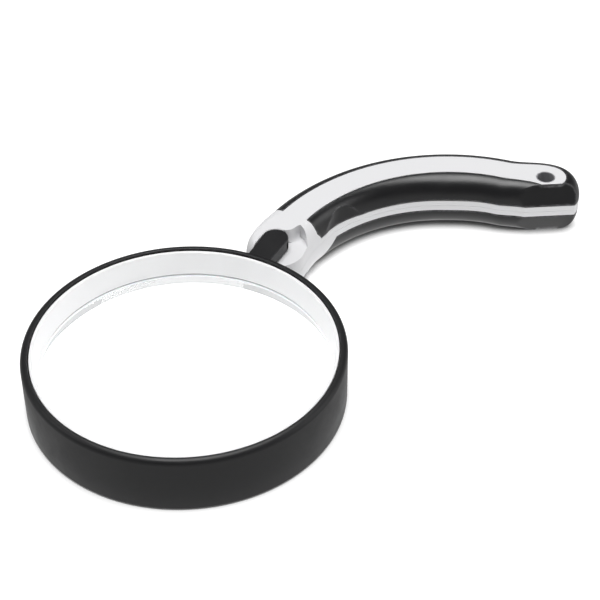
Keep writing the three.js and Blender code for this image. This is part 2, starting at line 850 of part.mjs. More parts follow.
// Finishes
function finish(color, roughness, metalness = 0, extra = {}) {
  return () => new THREE.MeshStandardMaterial({ color, roughness, metalness, ...extra });
}

const blackPlastic = finish(0x2c2c2f, 0.45);
const whitePlastic = finish(0xececee, 0.35);
const blackRubber = finish(0x1b1b1e, 0.6);
const clearAcrylic = finish(0xf4f7f8, 0.03, 0, { transparent: true, opacity: 0.3 });
const softSilicone = finish(0xd9dadd, 0.7);
const brightSteel = finish(0xb9bcc0, 0.28, 1);
const brass = finish(0xb5934c, 0.35, 1);
const nylon = finish(0xe6e2d6, 0.55);

const glass = new THREE.Group();

function addPiece(name, solid, material) {
  const mesh = new THREE.Mesh(toGeometry(solid), material());
  mesh.name = name;
  glass.add(mesh);
}

// Lens and frame
addPiece("lens_frame", lensFrame(), blackPlastic);
addPiece("upper_liner", upperLiner(), whitePlastic);
addPiece("lower_liner", lowerLiner(), whitePlastic);
addPiece("lens", lens(), clearAcrylic);
addPiece("lens_gasket", lensGasket(), softSilicone);

// Hinge
const washerOuter = bushRadius + washerReach;
addPiece("hinge_screw", hingeScrew(), brightSteel);
addPiece("threaded_insert", tube(
  hinge, screwRadius + turnGap, screwRadius + insertWall, upperEarZ + turnGap, screwTop - turnGap), brass);
addPiece("hinge_bush", tube(
  hinge, screwRadius + turnGap, bushRadius, lowerEarZ + seatGap, upperEarZ - seatGap), brightSteel);
addPiece("thrust_washer", tube(
  hinge, bushRadius + turnGap, washerOuter, lowerEarZ + seatGap, lowerEarZ + earFaceGap - seatGap), nylon);
addPiece("wave_washer", waveWasher(
  bushRadius + turnGap, washerOuter, upperEarZ - earFaceGap + seatGap,
  earFaceGap - waveHeight - 2 * seatGap), brightSteel);
const ballPlace = hinge.clone().add(bearing(ballBearing, ballOffset));
const detentSpringPlace = hinge.clone().add(bearing(ballBearing, detentSpringOffset));
addPiece("detent_ball", ball(ballPlace, ballRadius, ballZ), brightSteel);
addPiece("detent_spring", laid(
  coil(ballRadius - springWire, springWire, springTurns, springPitch), detentSpringPlace, ballZ, ballBearing),
brightSteel);

// Handle
addPiece("handle_shell_upper", cut(half(blank, midZ, handleTop), lockRoom), whitePlastic);
addPiece("handle_shell_lower", half(blank, handleFloor, midZ), whitePlastic);
addPiece("grip_upper", half(grips, midZ, handleTop), blackRubber);
addPiece("grip_lower", half(grips, handleFloor, midZ), blackRubber);
addPiece("lanyard_eyelet", tube(
  eyeletPlace, eyeletBore, eyeletBore + eyeletWall, 0, handleHeight), blackPlastic);
caseScrewPlaces.forEach((place, i) => {
  addPiece(`case_screw_${i + 1}`, turned([
    [0, caseScrewSink],
    [caseScrewHeadRadius, caseScrewSink],
    [caseScrewHeadRadius, caseScrewSink + caseScrewHeadHeight - seatGap],
    [caseScrewRadius, caseScrewSink + caseScrewHeadHeight - seatGap],
    [caseScrewRadius, caseScrewTopZ],
    [0, caseScrewTopZ],
  ], place), brightSteel);
});

// Fold lock
addPiece("release_button", releaseButton(), blackPlastic);
addPiece("button_spring", returnSpring(), brightSteel);
addPiece("lock_pawl", pawl(), brightSteel);
addPiece("pawl_pin", disc(
  pawlPin, pawlPinRadius, pawlLowZ - pawlPinRise + turnGap, pawlTopZ + pawlPinRise - turnGap), brightSteel);

// The origin is the middle of the bottom of the whole glass
const bounds = new THREE.Box3().setFromObject(glass);
const middle = bounds.getCenter(new THREE.Vector3());
glass.position.set(-middle.x, -middle.y, -bounds.min.z);

export default glass;
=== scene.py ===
"""Folding magnifying glass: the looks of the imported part, its studio and its camera.

Sizes are in millimetres in plan coordinates, with the lens centre at X = Y = 0 and the hinge on +X.
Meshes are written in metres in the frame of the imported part.
"""

import logging
import math
from dataclasses import dataclass, field
from enum import Enum, IntEnum
from typing import Callable, Sequence

import bmesh
import bpy
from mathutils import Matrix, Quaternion, Vector


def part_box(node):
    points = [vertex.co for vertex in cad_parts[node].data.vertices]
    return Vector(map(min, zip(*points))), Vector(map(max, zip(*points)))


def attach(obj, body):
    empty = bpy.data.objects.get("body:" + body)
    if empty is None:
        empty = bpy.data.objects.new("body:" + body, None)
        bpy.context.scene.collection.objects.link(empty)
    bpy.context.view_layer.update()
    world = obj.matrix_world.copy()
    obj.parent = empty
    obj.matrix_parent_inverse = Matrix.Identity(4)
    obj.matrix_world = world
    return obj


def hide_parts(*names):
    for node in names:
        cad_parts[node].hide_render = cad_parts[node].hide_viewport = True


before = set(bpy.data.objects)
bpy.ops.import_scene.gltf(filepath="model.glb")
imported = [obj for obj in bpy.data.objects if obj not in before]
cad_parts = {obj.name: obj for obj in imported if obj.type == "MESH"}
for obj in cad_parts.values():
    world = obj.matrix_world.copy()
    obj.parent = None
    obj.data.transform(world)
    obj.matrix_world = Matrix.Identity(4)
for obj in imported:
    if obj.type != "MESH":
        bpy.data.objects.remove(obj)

MM = 0.001  # metres in a millimetre
CREASE = 38.0  # edges sharper than this many degrees stay sharp
PAST = 1.0  # millimetres by which a tool reaches past what it cuts
LOG = logging.getLogger("magnifying_glass")

Point = tuple[float, float, float]
Flat = tuple[float, float]
Colour = tuple[float, float, float]
Piece = bpy.types.Object
Material = bpy.types.Material
Node = bpy.types.Node
Socket = bpy.types.NodeSocket
Tree = bpy.types.NodeTree


class Body(Enum):
    """The moving bodies of the part."""

    FRAME = "lens_and_frame"
    HANDLE = "handle"
    BUTTON = "button"


class Side(Enum):
    """The two mirrored halves of the handle, by their height sign from the parting line."""

    UPPER = 1
    LOWER = -1


class Sides(IntEnum):
    """How many flat sides a turned body has, by what it is used for."""

    PIN = 40
    SCREW = 48
    BUSH = 64
    HINGE = 72
    EYELET = 96
    GASKET = 192
    FRAME = 288


# ---------------------------------------------------------------- numbers


def clamp(value: float, low: float = 0.0, high: float = 1.0) -> float:
    """Return the value held between low and high."""
    return max(low, min(high, value))


def lerp(start: float, end: float, share: float) -> float:
    """Return the value that lies a share of the way from start to end."""
    return start + (end - start) * share


def smooth(value: float, low: float, high: float) -> float:
    """Return a smooth step from 0 at low to 1 at high."""
    share = clamp((value - low) / (high - low))
    return share * share * (3 - 2 * share)


def soft_min(first: float, second: float, blend: float) -> float:
    """Return the smaller value, rounded over where the two are within the blend of each other."""
    if blend <= 0:
        return min(first, second)
    share = clamp(0.5 + 0.5 * (second - first) / blend)
    return lerp(second, first, share) - blend * share * (1 - share)


def between(rows: Sequence[tuple[float, float]], place: float) -> float:
    """Return the value at a place between rows of (place, value), held at both ends."""
    if place <= rows[0][0]:
        return rows[0][1]
    for (start, low), (end, high) in zip(rows, rows[1:]):
        if place <= end:
            return lerp(low, high, (place - start) / (end - start))
    return rows[-1][1]


def bearing(angle: float, length: float = 1.0) -> Flat:
    """Return the plan vector of a length at an angle in degrees from +X."""
    turn = math.radians(angle)
    return math.cos(turn) * length, math.sin(turn) * length


def moved(start: Flat, angle: float, length: float) -> Flat:
    """Return the plan point a length from start at an angle in degrees."""
    step = bearing(angle, length)
    return start[0] + step[0], start[1] + step[1]


def span(start: float, end: float, steps: int) -> list[float]:
    """Return steps + 1 even values from start to end."""
    return [lerp(start, end, i / steps) for i in range(steps + 1)]


def arc(centre: Flat, radius: float, start: float, end: float, steps: int) -> list[Flat]:
    """Return plan points on an arc about a centre, angles in degrees."""
    return [moved(centre, angle, radius) for angle in span(start, end, steps)]


def halved(low: float, high: float, holds: Callable[[float], bool], times: int) -> float:
    """Return the value up to which a test holds, found by halving low to high a number of times."""
    for _ in range(times):
        middle = (low + high) / 2
        low, high = (middle, high) if holds(middle) else (low, middle)
    return (low + high) / 2


# ---------------------------------------------------------------- meshes


class Workshop:
    """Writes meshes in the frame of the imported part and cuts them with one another."""

    WELD = 0.002
    COIL_STEPS = 28
    WIRE_SIDES = 12

    def __init__(self) -> None:
        """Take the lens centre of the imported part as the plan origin."""
        low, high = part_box("lens")
        self.origin = ((low.x + high.x) / 2, (low.y + high.y) / 2)

    def place(self, point: Sequence[float]) -> Point:
        """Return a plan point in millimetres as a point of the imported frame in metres.

        Args:
            point: X and Y from the lens centre and Z from the table.

        Returns:
            The same point in metres.
        """
        return self.origin[0] + point[0] * MM, self.origin[1] + point[1] * MM, point[2] * MM

    def clean(self, data: bpy.types.Mesh) -> None:
        """Weld doubled points, drop what has no area and turn the faces outward."""
        work = bmesh.new()
        work.from_mesh(data)
        bmesh.ops.remove_doubles(work, verts=work.verts, dist=self.WELD * MM)
        bmesh.ops.dissolve_degenerate(work, edges=work.edges, dist=self.WELD * MM / 2)
        loose = [edge for edge in work.edges if not edge.link_faces]
        bmesh.ops.delete(work, geom=loose, context="EDGES")
        bmesh.ops.recalc_face_normals(work, faces=work.faces)
        work.to_mesh(data)
        work.free()

    def skin(self, name: str, sections: Sequence[Sequence[Sequence[float]]], looped: bool = False) -> Piece:
        """Join closed sections of equal point count into one closed body.

        Args:
            name: Name of the piece.
            sections: Closed sections, each a list of plan points in millimetres.
            looped: Whether the last section joins the first, and otherwise both ends are capped.

        Returns:
            The new object, linked to the scene.
        """
        count = len(sections[0])
        faces: list[list[int]] = []
        for i in range(len(sections) if looped else len(sections) - 1):
            here, there = i * count, ((i + 1) % len(sections)) * count
            for j in range(count):
                k = (j + 1) % count
                faces.append([here + j, here + k, there + k, there + j])
        if not looped:
            last = (len(sections) - 1) * count
            faces.append(list(range(count)))
            faces.append([last + j for j in reversed(range(count))])
        data = bpy.data.meshes.new(name)
        data.from_pydata([self.place(point) for section in sections for point in section], [], faces)
        piece = bpy.data.objects.new(name, data)
        bpy.context.scene.collection.objects.link(piece)
        self.clean(data)
        return piece

    def lathe(self, name: str, profile: Sequence[Flat], centre: Flat = (0.0, 0.0),
              sides: int = Sides.EYELET,
              alter: Callable[[int, float, float], Flat] | None = None) -> Piece:
        """Turn a profile of (radius, height) points round an upright axis.

        Args:
            name: Name of the piece.
            profile: Points of a closed profile, or of one that starts and ends on the axis.
            centre: Plan place of the axis.
            sides: Number of flat sides round the axis.
            alter: Gives a profile point's radius and height at a numbered side, if they vary.

        Returns:
            The new object.
        """
        sections = []
        for i in range(sides):
            way = bearing(360 * i / sides)
            row = [alter(i, r, z) for r, z in profile] if alter else profile
            sections.append([(centre[0] + way[0] * r, centre[1] + way[1] * r, z) for r, z in row])
        return self.skin(name, sections, True)

    def drum(self, name: str, radius: float, span_z: Flat, centre: Flat, sides: int) -> Piece:
        """Make a plain round body of a radius over a span of heights."""
        low, high = span_z
        return self.lathe(name, [(0, low), (radius, low), (radius, high), (0, high)], centre, sides)

    def prism(self, name: str, levels: Sequence[tuple[float, Sequence[Flat]]]) -> Piece:
        """Stack plan outlines of equal point count, each with its height, into one closed body."""
        return self.skin(name, [[(x, y, z) for x, y in outline] for z, outline in levels])

    def block(self, name: str, low: Point, high: Point, taper: float = 0.0) -> Piece:
        """Make a block between two corners, drawn in at its top by the taper."""
        levels = []
        for z, draw in ((low[2], 0.0), (high[2], taper)):
            near, far = (low[0] + draw, low[1] + draw), (high[0] - draw, high[1] - draw)
            levels.append((z, [near, (far[0], near[1]), far, (near[0], far[1])]))
        return self.prism(name, levels)

    def combine(self, piece: Piece, *tools: Piece, operation: str = "DIFFERENCE") -> None:
        """Cut a piece with tools, or join them to it, and remove the tools.

        Args:
            piece: Mesh object that is changed.
            *tools: Closed mesh objects, used in order.
            operation: Name of the boolean operation.
        """
        for tool in tools:
            change = piece.modifiers.new("combine", "BOOLEAN")
            change.operation = operation
            change.solver = "MANIFOLD"
            change.object = tool
            graph = bpy.context.evaluated_depsgraph_get()
            data = bpy.data.meshes.new_from_object(piece.evaluated_get(graph))
            piece.modifiers.clear()
            former, piece.data = piece.data, data
            data.name = piece.name
            bpy.data.meshes.remove(former)
            bpy.data.meshes.remove(tool.data)
            if not data.polygons:
                LOG.error("%s lost its mesh", piece.name)

    def helix(self, name: str, radius: float, wire: float, turns: float, pitch: float, start: Point,
              way: Flat) -> Piece:
        """Wind a round wire into a level coil.

        Args:
            name: Name of the piece.
            radius: Radius of the coil to the middle of the wire.
            wire: Wire diameter.
            turns: Number of turns.
            pitch: Advance for each turn.
            start: Point on the axis where the coil starts.
            way: Plan direction of the axis.

        Returns:
            The new object.
        """
        along, up = Vector((*way, 0)), Vector((0, 0, 1))
        side = along.cross(up)
        steps = int(turns * self.COIL_STEPS)
        sections = []
        for i in range(steps + 1):
            turn = 2 * math.pi * turns * i / steps
            radial = side * math.cos(turn) + up * math.sin(turn)
            middle = Vector(start) + radial * radius + along * (wire / 2 + pitch * turns * i / steps)
            rounds = (2 * math.pi * j / self.WIRE_SIDES for j in range(self.WIRE_SIDES))
            sections.append([tuple(middle + (radial * math.cos(a) + along * math.sin(a)) * wire / 2)
                             for a in rounds])
        return self.skin(name, sections)


def dress(piece: Piece, palette: "Palette", slot: str) -> None:
    """Give a piece the finish of a slot of the record."""
    piece.data.materials.clear()
    piece.data.materials.append(palette[slot])


def fit(piece: Piece, body: Body, palette: "Palette", slot: str, node: str, crease: float = CREASE) -> None:
    """Shade and dress a piece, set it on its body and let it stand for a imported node.

    Args:
        piece: The finished mesh object.
        body: The body that it moves with.
        palette: All finishes.
        slot: The record's material slot.
        node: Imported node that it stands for.
        crease: Edges sharper than this many degrees stay sharp.
    """
    piece.data.shade_smooth()
    piece.data.set_sharp_from_angle(angle=math.radians(crease))
    dress(piece, palette, slot)
    even = piece.modifiers.new("even_shading", "WEIGHTED_NORMAL")
    even.keep_sharp = True
    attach(piece, body.value)
    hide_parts(node)
    LOG.info("%s: %d faces on %s", piece.name, len(piece.data.polygons), body.value)


# ---------------------------------------------------------------- finishes


class Bench:
    """Adds and links nodes in one node tree."""

    def __init__(self, tree: Tree) -> None:
        """Start with an empty tree."""
        self.tree = tree
        tree.nodes.clear()

    def add(self, kind: str, settings: dict[str, object] | None = None, **values: object) -> Node:
        """Add a node.

        Args:
            kind: Node type, without its ShaderNode prefix.
            settings: Properties of the node.
            **values: Input values by socket name, with _ for a blank.

        Returns:
            The new node.
        """
        prefix = "" if kind.startswith("NodeGroup") else "ShaderNode"
        node = self.tree.nodes.new(prefix + kind)
        for key, value in (settings or {}).items():
            setattr(node, key, value)
        for key, value in values.items():
            node.inputs[key.replace("_", " ")].default_value = value
        return node

    def link(self, output: object, target: Socket) -> None:
        """Link an output to an input, or set the input to a plain value."""
        if isinstance(output, Socket):
            self.tree.links.new(output, target)
        else:
            target.default_value = output

    def seen_through(self, path: Node) -> Socket:
        """Tell whether a ray comes to the eye through the lens, also one reflected inside it.

        Args:
            path: Light path node.

        Returns:
            One for such a ray and nought for any other.
        """
        passed = self.math("GREATER_THAN", path.outputs["Transmission Depth"], 0.5)
        direct = self.math("LESS_THAN", path.outputs["Diffuse Depth"], 0.5)
        return self.math("MULTIPLY", passed, direct)

    def math(self, operation: str, *values: object) -> Socket:
        """Add a math node whose two inputs are sockets or numbers, and return its output."""
        node = self.add("Math", {"operation": operation})
        for socket, value in zip(node.inputs, values):
            self.link(value, socket)
        return node.outputs[0]

    def mix(self, share: Socket, first: object, second: object, operation: str = "MIX") -> Socket:
        """Add a mix of two colours, which are sockets or plain colours, and return its output."""
        node = self.add("Mix", {"data_type": "RGBA", "blend_type": operation})
        for place, value in ((0, share), (6, first), (7, second)):
            self.link(value, node.inputs[place])
        return node.outputs[2]

    def ramp(self, source: Socket, low: float, high: float, start: float = 0.0, end: float = 1.0) -> Socket:
        """Map a value from low..high to start..end, held at both ends, and return the output."""
        node = self.add("MapRange", {"clamp": True}, From_Min=low, From_Max=high, To_Min=start, To_Max=end)
        self.link(source, node.inputs["Value"])
        return node.outputs[0]

    def mixed(self, share: Socket, first: Socket, second: Socket) -> Socket:
        """Add a mix of two surfaces and return its output."""
        node = self.add("MixShader")
        for place, value in enumerate((share, first, second)):
            self.link(value, node.inputs[place])
        return node.outputs[0]


class Effects:
    """Shader node groups that more than one finish uses, each built once."""

    def __init__(self) -> None:
        """Build every group."""
        self.grain = self._grain()
        self.handling = self._handling()
        self.wear_and_highlight = self._wear_and_highlight()
        self.dust = self._dust()

    @staticmethod
    def _group(name: str, inputs: dict[str, float], outputs: dict[str, str]) -> tuple[Bench, dict, dict]:
        """Start a group with named sockets.

        Args:
            name: Name of the group.
            inputs: Name and default of each number that the group takes.
            outputs: Name and socket type of each output.

        Returns:
            The bench of the group, and its input and output sockets by name.
        """
        tree = bpy.data.node_groups.new(name, "ShaderNodeTree")
        for key, value in inputs.items():
            socket = tree.interface.new_socket(key, in_out="INPUT", socket_type="NodeSocketFloat")
            socket.default_value = value
        for key, kind in outputs.items():
            tree.interface.new_socket(key, in_out="OUTPUT", socket_type=kind)
        bench = Bench(tree)
        source = bench.add("NodeGroupInput")
        target = bench.add("NodeGroupOutput")
        return bench, {s.name: s for s in source.outputs}, {s.name: s for s in target.inputs}

    def _grain(self) -> Tree:
        """Build the fine grain of a moulded surface: cells over soft noise."""
        bench, ins, outs = self._group(
            "Moulded grain", {"Grains per mm": 6.0, "Softness": 0.5}, {"Height": "NodeSocketFloat"})
        place = bench.add("TexCoord").outputs["Object"]
        scale = bench.math("MULTIPLY", ins["Grains per mm"], 1 / MM)
        cells = bench.add("TexVoronoi", {"feature": "SMOOTH_F1"}, Smoothness=0.6)
        noise = bench.add("TexNoise", Detail=3.0, Roughness=0.6)
        for node in (cells, noise):
            bench.link(place, node.inputs["Vector"])
            bench.link(scale, node.inputs["Scale"])
        mix = bench.add("Mix", {"data_type": "FLOAT"})
        for socket, value in zip((mix.inputs[0], mix.inputs[2], mix.inputs[3]),
                                 (ins["Softness"], cells.outputs["Distance"], noise.outputs[0])):
            bench.link(value, socket)
        bench.link(mix.outputs[0], outs["Height"])
        return bench.tree

    def _handling(self) -> Tree:
        """Build the uneven gloss that handling leaves: broad smears with finer marks in them."""
        bench, ins, outs = self._group(
            "Handling gloss", {"Roughness": 0.4, "Amount": 0.1, "Size mm": 12.0},
            {"Roughness": "NodeSocketFloat"})
        place = bench.add("TexCoord").outputs["Object"]
        broad = bench.add("TexNoise", Detail=2.0, Distortion=0.8)
        fine = bench.add("TexNoise", Detail=4.0, Distortion=0.3)
        scale = bench.math("DIVIDE", 1 / MM, ins["Size mm"])
        bench.link(scale, broad.inputs["Scale"])
        bench.link(bench.math("MULTIPLY", scale, 6.0), fine.inputs["Scale"])
        for node in (broad, fine):
            bench.link(place, node.inputs["Vector"])
        both = bench.math("ADD", broad.outputs[0], bench.math("MULTIPLY", fine.outputs[0], 0.5))
        swing = bench.ramp(both, 0.45, 1.05, -1.0, 1.0)
        bench.link(bench.math("ADD", ins["Roughness"], bench.math("MULTIPLY", swing, ins["Amount"])),
                   outs["Roughness"])
        return bench.tree

    def _wear_and_highlight(self) -> Tree:
        """Build a mask that is 1 on edges that hands and tables rub, broken up by noise; on the grip it
        places a painted highlight.
        """
        bench, ins, outs = self._group(
            "Edge wear", {"Reach mm": 0.3, "Amount": 0.5}, {"Mask": "NodeSocketFloat"})
        bevel = bench.add("Bevel", {"samples": 4})
        bench.link(bench.math("MULTIPLY", ins["Reach mm"], MM), bevel.inputs["Radius"])
        plain = bench.add("NewGeometry")
        dot = bench.add("VectorMath", {"operation": "DOT_PRODUCT"})
        bench.link(bevel.outputs[0], dot.inputs[0])
        bench.link(plain.outputs["Normal"], dot.inputs[1])
        edge = bench.ramp(dot.outputs["Value"], 0.9975, 0.985)
        noise = bench.add("TexNoise", Scale=0.7 / MM, Detail=4.0)
        bench.link(bench.add("TexCoord").outputs["Object"], noise.inputs["Vector"])
        broken = bench.ramp(noise.outputs[0], 0.3, 0.6)
        mask = bench.math("MULTIPLY", edge, broken)
        bench.link(bench.math("MULTIPLY", mask, ins["Amount"]), outs["Mask"])
        return bench.tree

    def _dust(self) -> Tree:
        """Build a mask of sparse fine specks that lie on upward faces."""
        bench, ins, outs = self._group(
            "Fine dust", {"Specks per mm": 1.2, "Amount": 0.3}, {"Mask": "NodeSocketFloat"})
        place = bench.add("TexCoord").outputs["Object"]
        cells = bench.add("TexVoronoi")
        bench.link(place, cells.inputs["Vector"])
        bench.link(bench.math("MULTIPLY", ins["Specks per mm"], 1 / MM), cells.inputs["Scale"])
        speck = bench.ramp(cells.outputs["Distance"], 0.12, 0.05)
        split = bench.add("SeparateXYZ")
        bench.link(bench.add("NewGeometry").outputs["Normal"], split.inputs[0])
        upward = bench.ramp(split.outputs[2], 0.3, 0.9)
        pick = bench.add("SeparateColor")
        bench.link(cells.outputs["Color"], pick.inputs[0])
        chosen = bench.ramp(pick.outputs[0], 0.8, 0.86)
        mask = bench.math("MULTIPLY", bench.math("MULTIPLY", speck, upward), chosen)
        bench.link(bench.math("MULTIPLY", mask, ins["Amount"]), outs["Mask"])
        return bench.tree


@dataclass(frozen=True)
class Finish:
    """A finish of one material slot, with the values that all finishes share."""

    name: str
    colour: Colour
    roughness: float
    uneven: float = 0.06
    smear: float = 12.0

    def build(self, effects: Effects) -> Material:
        """Build the material with the uneven gloss that every finish has.

        Args:
            effects: The shared shader groups.

        Returns:
            The new material.
        """
        material = bpy.data.materials.new(self.name)
        material.use_nodes = True
        material.diffuse_color = (*self.colour, 1.0)
        bench = Bench(material.node_tree)
        shader = bench.add("BsdfPrincipled", Base_Color=(*self.colour, 1.0), Roughness=self.roughness)
        gloss = self.use(bench, effects.handling, Roughness=self.roughness, Amount=self.uneven,
                         Size_mm=self.smear)
        bench.link(gloss, shader.inputs["Roughness"])
        output = bench.add("OutputMaterial")
        bench.link(self.surface(bench, shader, effects), output.inputs["Surface"])
        return material

    def surface(self, bench: Bench, shader: Node, effects: Effects) -> Socket:
        """Add what is special to this kind of finish.

        Args:
            bench: Bench of the material.
            shader: The Principled shader.
            effects: The shared shader groups.

        Returns:
            The output for the material's surface.
        """
        raise NotImplementedError

    def use(self, bench: Bench, group: Tree, **values: float) -> Socket:
        """Place a group with its own values, with _ in a name for a blank, and return its output."""
        return bench.add("Group", {"node_tree": group}, **values).outputs[0]

    def relief(self, bench: Bench, shader: Node, height: Socket, depth: float) -> None:
        """Feed a height, whose depth is in millimetres, to the shader's normal through a bump."""
        node = bench.add("Bump", Strength=1.0, Distance=depth * MM)
        bench.link(height, node.inputs["Height"])
        bench.link(node.outputs[0], shader.inputs["Normal"])


@dataclass(frozen=True)
class Moulding(Finish):
    """What all moulded finishes have: a fine grain."""

    grain: float = 5.0
    grain_depth: float = 0.004
    softness: float = 0.55

    def roughen(self, bench: Bench, shader: Node, effects: Effects) -> None:
        """Give the surface its grain."""
        height = self.use(bench, effects.grain, Grains_per_mm=self.grain, Softness=self.softness)
        self.relief(bench, shader, height, self.grain_depth)


@dataclass(frozen=True)
class MouldedPlastic(Moulding):
    """Injection-moulded plastic with a faint grain, handling marks, worn edges and dust; the edge colour also
    serves as a painted highlight.
    """

    specular: float = 0.5
    rubbed_and_highlight: Colour = (0.2, 0.2, 0.2)
    wear_and_highlight: float = 0.25
    wear_and_highlight_reach: float = 0.25
    dust: float = 0.25
    specks: float = 1.2
    shade_behind_lens: float = 0.0

    def surface(self, bench: Bench, shader: Node, effects: Effects) -> Socket:
        """Add grain, worn edges and dust, a painted edge highlight where the finish asks for one, and painted
        shade on what is seen through the lens.
        """
        shader.inputs["Specular IOR Level"].default_value = self.specular
        self.roughen(bench, shader, effects)
        wear_and_highlight = self.use(bench, effects.wear_and_highlight, Reach_mm=self.wear_and_highlight_reach, Amount=self.wear_and_highlight)
        dust = self.use(bench, effects.dust, Specks_per_mm=self.specks, Amount=self.dust)
        # The edge colour marks worn edges and dust; on the grip it is a painted highlight along the scoop and
        # facet creases.
        colour = bench.mix(bench.math("MAXIMUM", wear_and_highlight, dust), (*self.colour, 1.0), (*self.rubbed_and_highlight, 1.0))
        # Painted shade: where this plastic is seen through the lens, its base colour is darkened by
        # shade_behind_lens.
        if self.shade_behind_lens:
            left = 1 - self.shade_behind_lens
            seen = bench.seen_through(bench.add("LightPath"))
            colour = bench.mix(seen, colour, (left, left, left, 1.0), "MULTIPLY")
        bench.link(colour, shader.inputs["Base Color"])
        return shader.outputs[0]


@dataclass(frozen=True)
class SoftTouchRubber(MouldedPlastic):
    """Soft-touch grip moulding: a velvety black with a fine spark-eroded grain."""

    smear: float = 18.0
    grain: float = 7.0
    grain_depth: float = 0.012
    softness: float = 0.3
    # Painted highlight: the lighter edge colour along the scoop and facet creases stands for light caught on
    # them.
    rubbed_and_highlight: Colour = (0.13, 0.13, 0.135)
    wear_and_highlight: float = 0.9
    wear_and_highlight_reach: float = 0.9
    dust: float = 0.12
    specks: float = 0.9


@dataclass(frozen=True)
class ClearAcrylic(Finish):
    """Polished clear acrylic with faint wiping marks."""

    uneven: float = 0.006
    smear: float = 22.0
    index: float = 1.49
    inner_bounces: float = 3.5
    tint: Colour = (0.95, 0.955, 0.96)

    def surface(self, bench: Bench, shader: Node, effects: Effects) -> Socket:
        """Let light through, and let shadow rays and rays that bounced often pass straight."""
        shader.inputs["Transmission Weight"].default_value = 1.0
        shader.inputs["IOR"].default_value = self.index
        through = bench.add("BsdfTransparent", Color=(*self.tint, 1.0))
        path = bench.add("LightPath")
        deep = bench.math("GREATER_THAN", path.outputs["Ray Depth"], self.inner_bounces)
        straight = bench.math("MAXIMUM", path.outputs["Is Shadow Ray"], deep)
        return bench.mixed(straight, shader.outputs[0], through.outputs[0])


@dataclass(frozen=True)
class TurnedMetal(Finish):
    """Turned or drawn metal with fine machining lines round an upright axis."""

    uneven: float = 0.08
    smear: float = 3.0
    lines: float = 9.0
    line_depth: float = 0.0015
    waves_per_scale: float = 20.0

    def surface(self, bench: Bench, shader: Node, effects: Effects) -> Socket:
        """Make it metal with its machining lines."""
        shader.inputs["Metallic"].default_value = 1.0
        wave = bench.add("TexWave", {"wave_type": "RINGS", "rings_direction": "Z"},
                         Scale=self.lines / MM / self.waves_per_scale, Distortion=1.5, Detail=2.0)
        bench.link(bench.add("TexCoord").outputs["Object"], wave.inputs["Vector"])
        self.relief(bench, shader, wave.outputs[0], self.line_depth)
        return shader.outputs[0]


@dataclass(frozen=True)
class SoftMoulding(Moulding):
    """A pale soft part, such as silicone or nylon, with a little light in its depth."""

    uneven: float = 0.08
    smear: float = 5.0
    grain: float = 4.0
    grain_depth: float = 0.006
    softness: float = 0.8
    depth: float = 0.6
    depth_weight: float = 0.15

    def surface(self, bench: Bench, shader: Node, effects: Effects) -> Socket:
        """Let a little light into the grained surface."""
        shader.inputs["Subsurface Weight"].default_value = self.depth_weight
        shader.inputs["Subsurface Scale"].default_value = self.depth * MM
        self.roughen(bench, shader, effects)
        return shader.outputs[0]


class Palette:
    """All finishes of the glass, by the record's material slot."""

    FINISHES: tuple[Finish, ...] = (
        MouldedPlastic("frame_plastic", (0.012, 0.012, 0.013), 0.4, grain=3.5, grain_depth=0.006,
                       rubbed_and_highlight=(0.11, 0.11, 0.115), specular=0.4),
        # The liner paints shade on its part seen through the lens.
        MouldedPlastic("liner_white", (0.96, 0.96, 0.965), 0.34, uneven=0.02, rubbed_and_highlight=(0.88, 0.88, 0.88),
                       wear_and_highlight=0.08, shade_behind_lens=0.5),
        ClearAcrylic("lens_acrylic", (0.985, 0.99, 0.99), 0.008),
        SoftMoulding("gasket_silicone", (0.7, 0.71, 0.73), 0.55),
        TurnedMetal("hinge_steel", (0.5, 0.51, 0.53), 0.28),
        TurnedMetal("insert_brass", (0.5, 0.3, 0.08), 0.3),
        SoftMoulding("washer_nylon", (0.79, 0.76, 0.68), 0.5),
        TurnedMetal("spring_steel", (0.45, 0.46, 0.48), 0.3, lines=14.0),
        TurnedMetal("ball_steel", (0.55, 0.56, 0.58), 0.08, line_depth=0.0002),
        MouldedPlastic("shell_white", (0.8, 0.8, 0.812), 0.35, uneven=0.035, rubbed_and_highlight=(0.7, 0.7, 0.69),
                       wear_and_highlight=0.12),
        SoftTouchRubber("grip_rubber", (0.004, 0.004, 0.005), 0.34, specular=0.7),
        MouldedPlastic("eyelet_black", (0.34, 0.34, 0.36), 0.4, rubbed_and_highlight=(0.12, 0.12, 0.12)),
        TurnedMetal("screw_steel", (0.5, 0.51, 0.53), 0.32),
        MouldedPlastic("button_black", (0.022, 0.022, 0.024), 0.42, rubbed_and_highlight=(0.13, 0.13, 0.13)),
        TurnedMetal("lock_steel", (0.45, 0.46, 0.48), 0.36, lines=5.0),
    )

    def __init__(self) -> None:
        """Build every finish once."""
        effects = Effects()
        self.materials = {finish.name: finish.build(effects) for finish in self.FINISHES}

    def __getitem__(self, slot: str) -> Material:
        """Return the material of a slot."""
        return self.materials[slot]


# ---------------------------------------------------------------- handle


@dataclass(frozen=True)
class Station:
    """A place on the handle's centre line with the direction that its section looks in."""

    base: Flat
    way: Flat
    strip: float
    full: float
    scoop: float = 0.0
    rim: float = 30.0


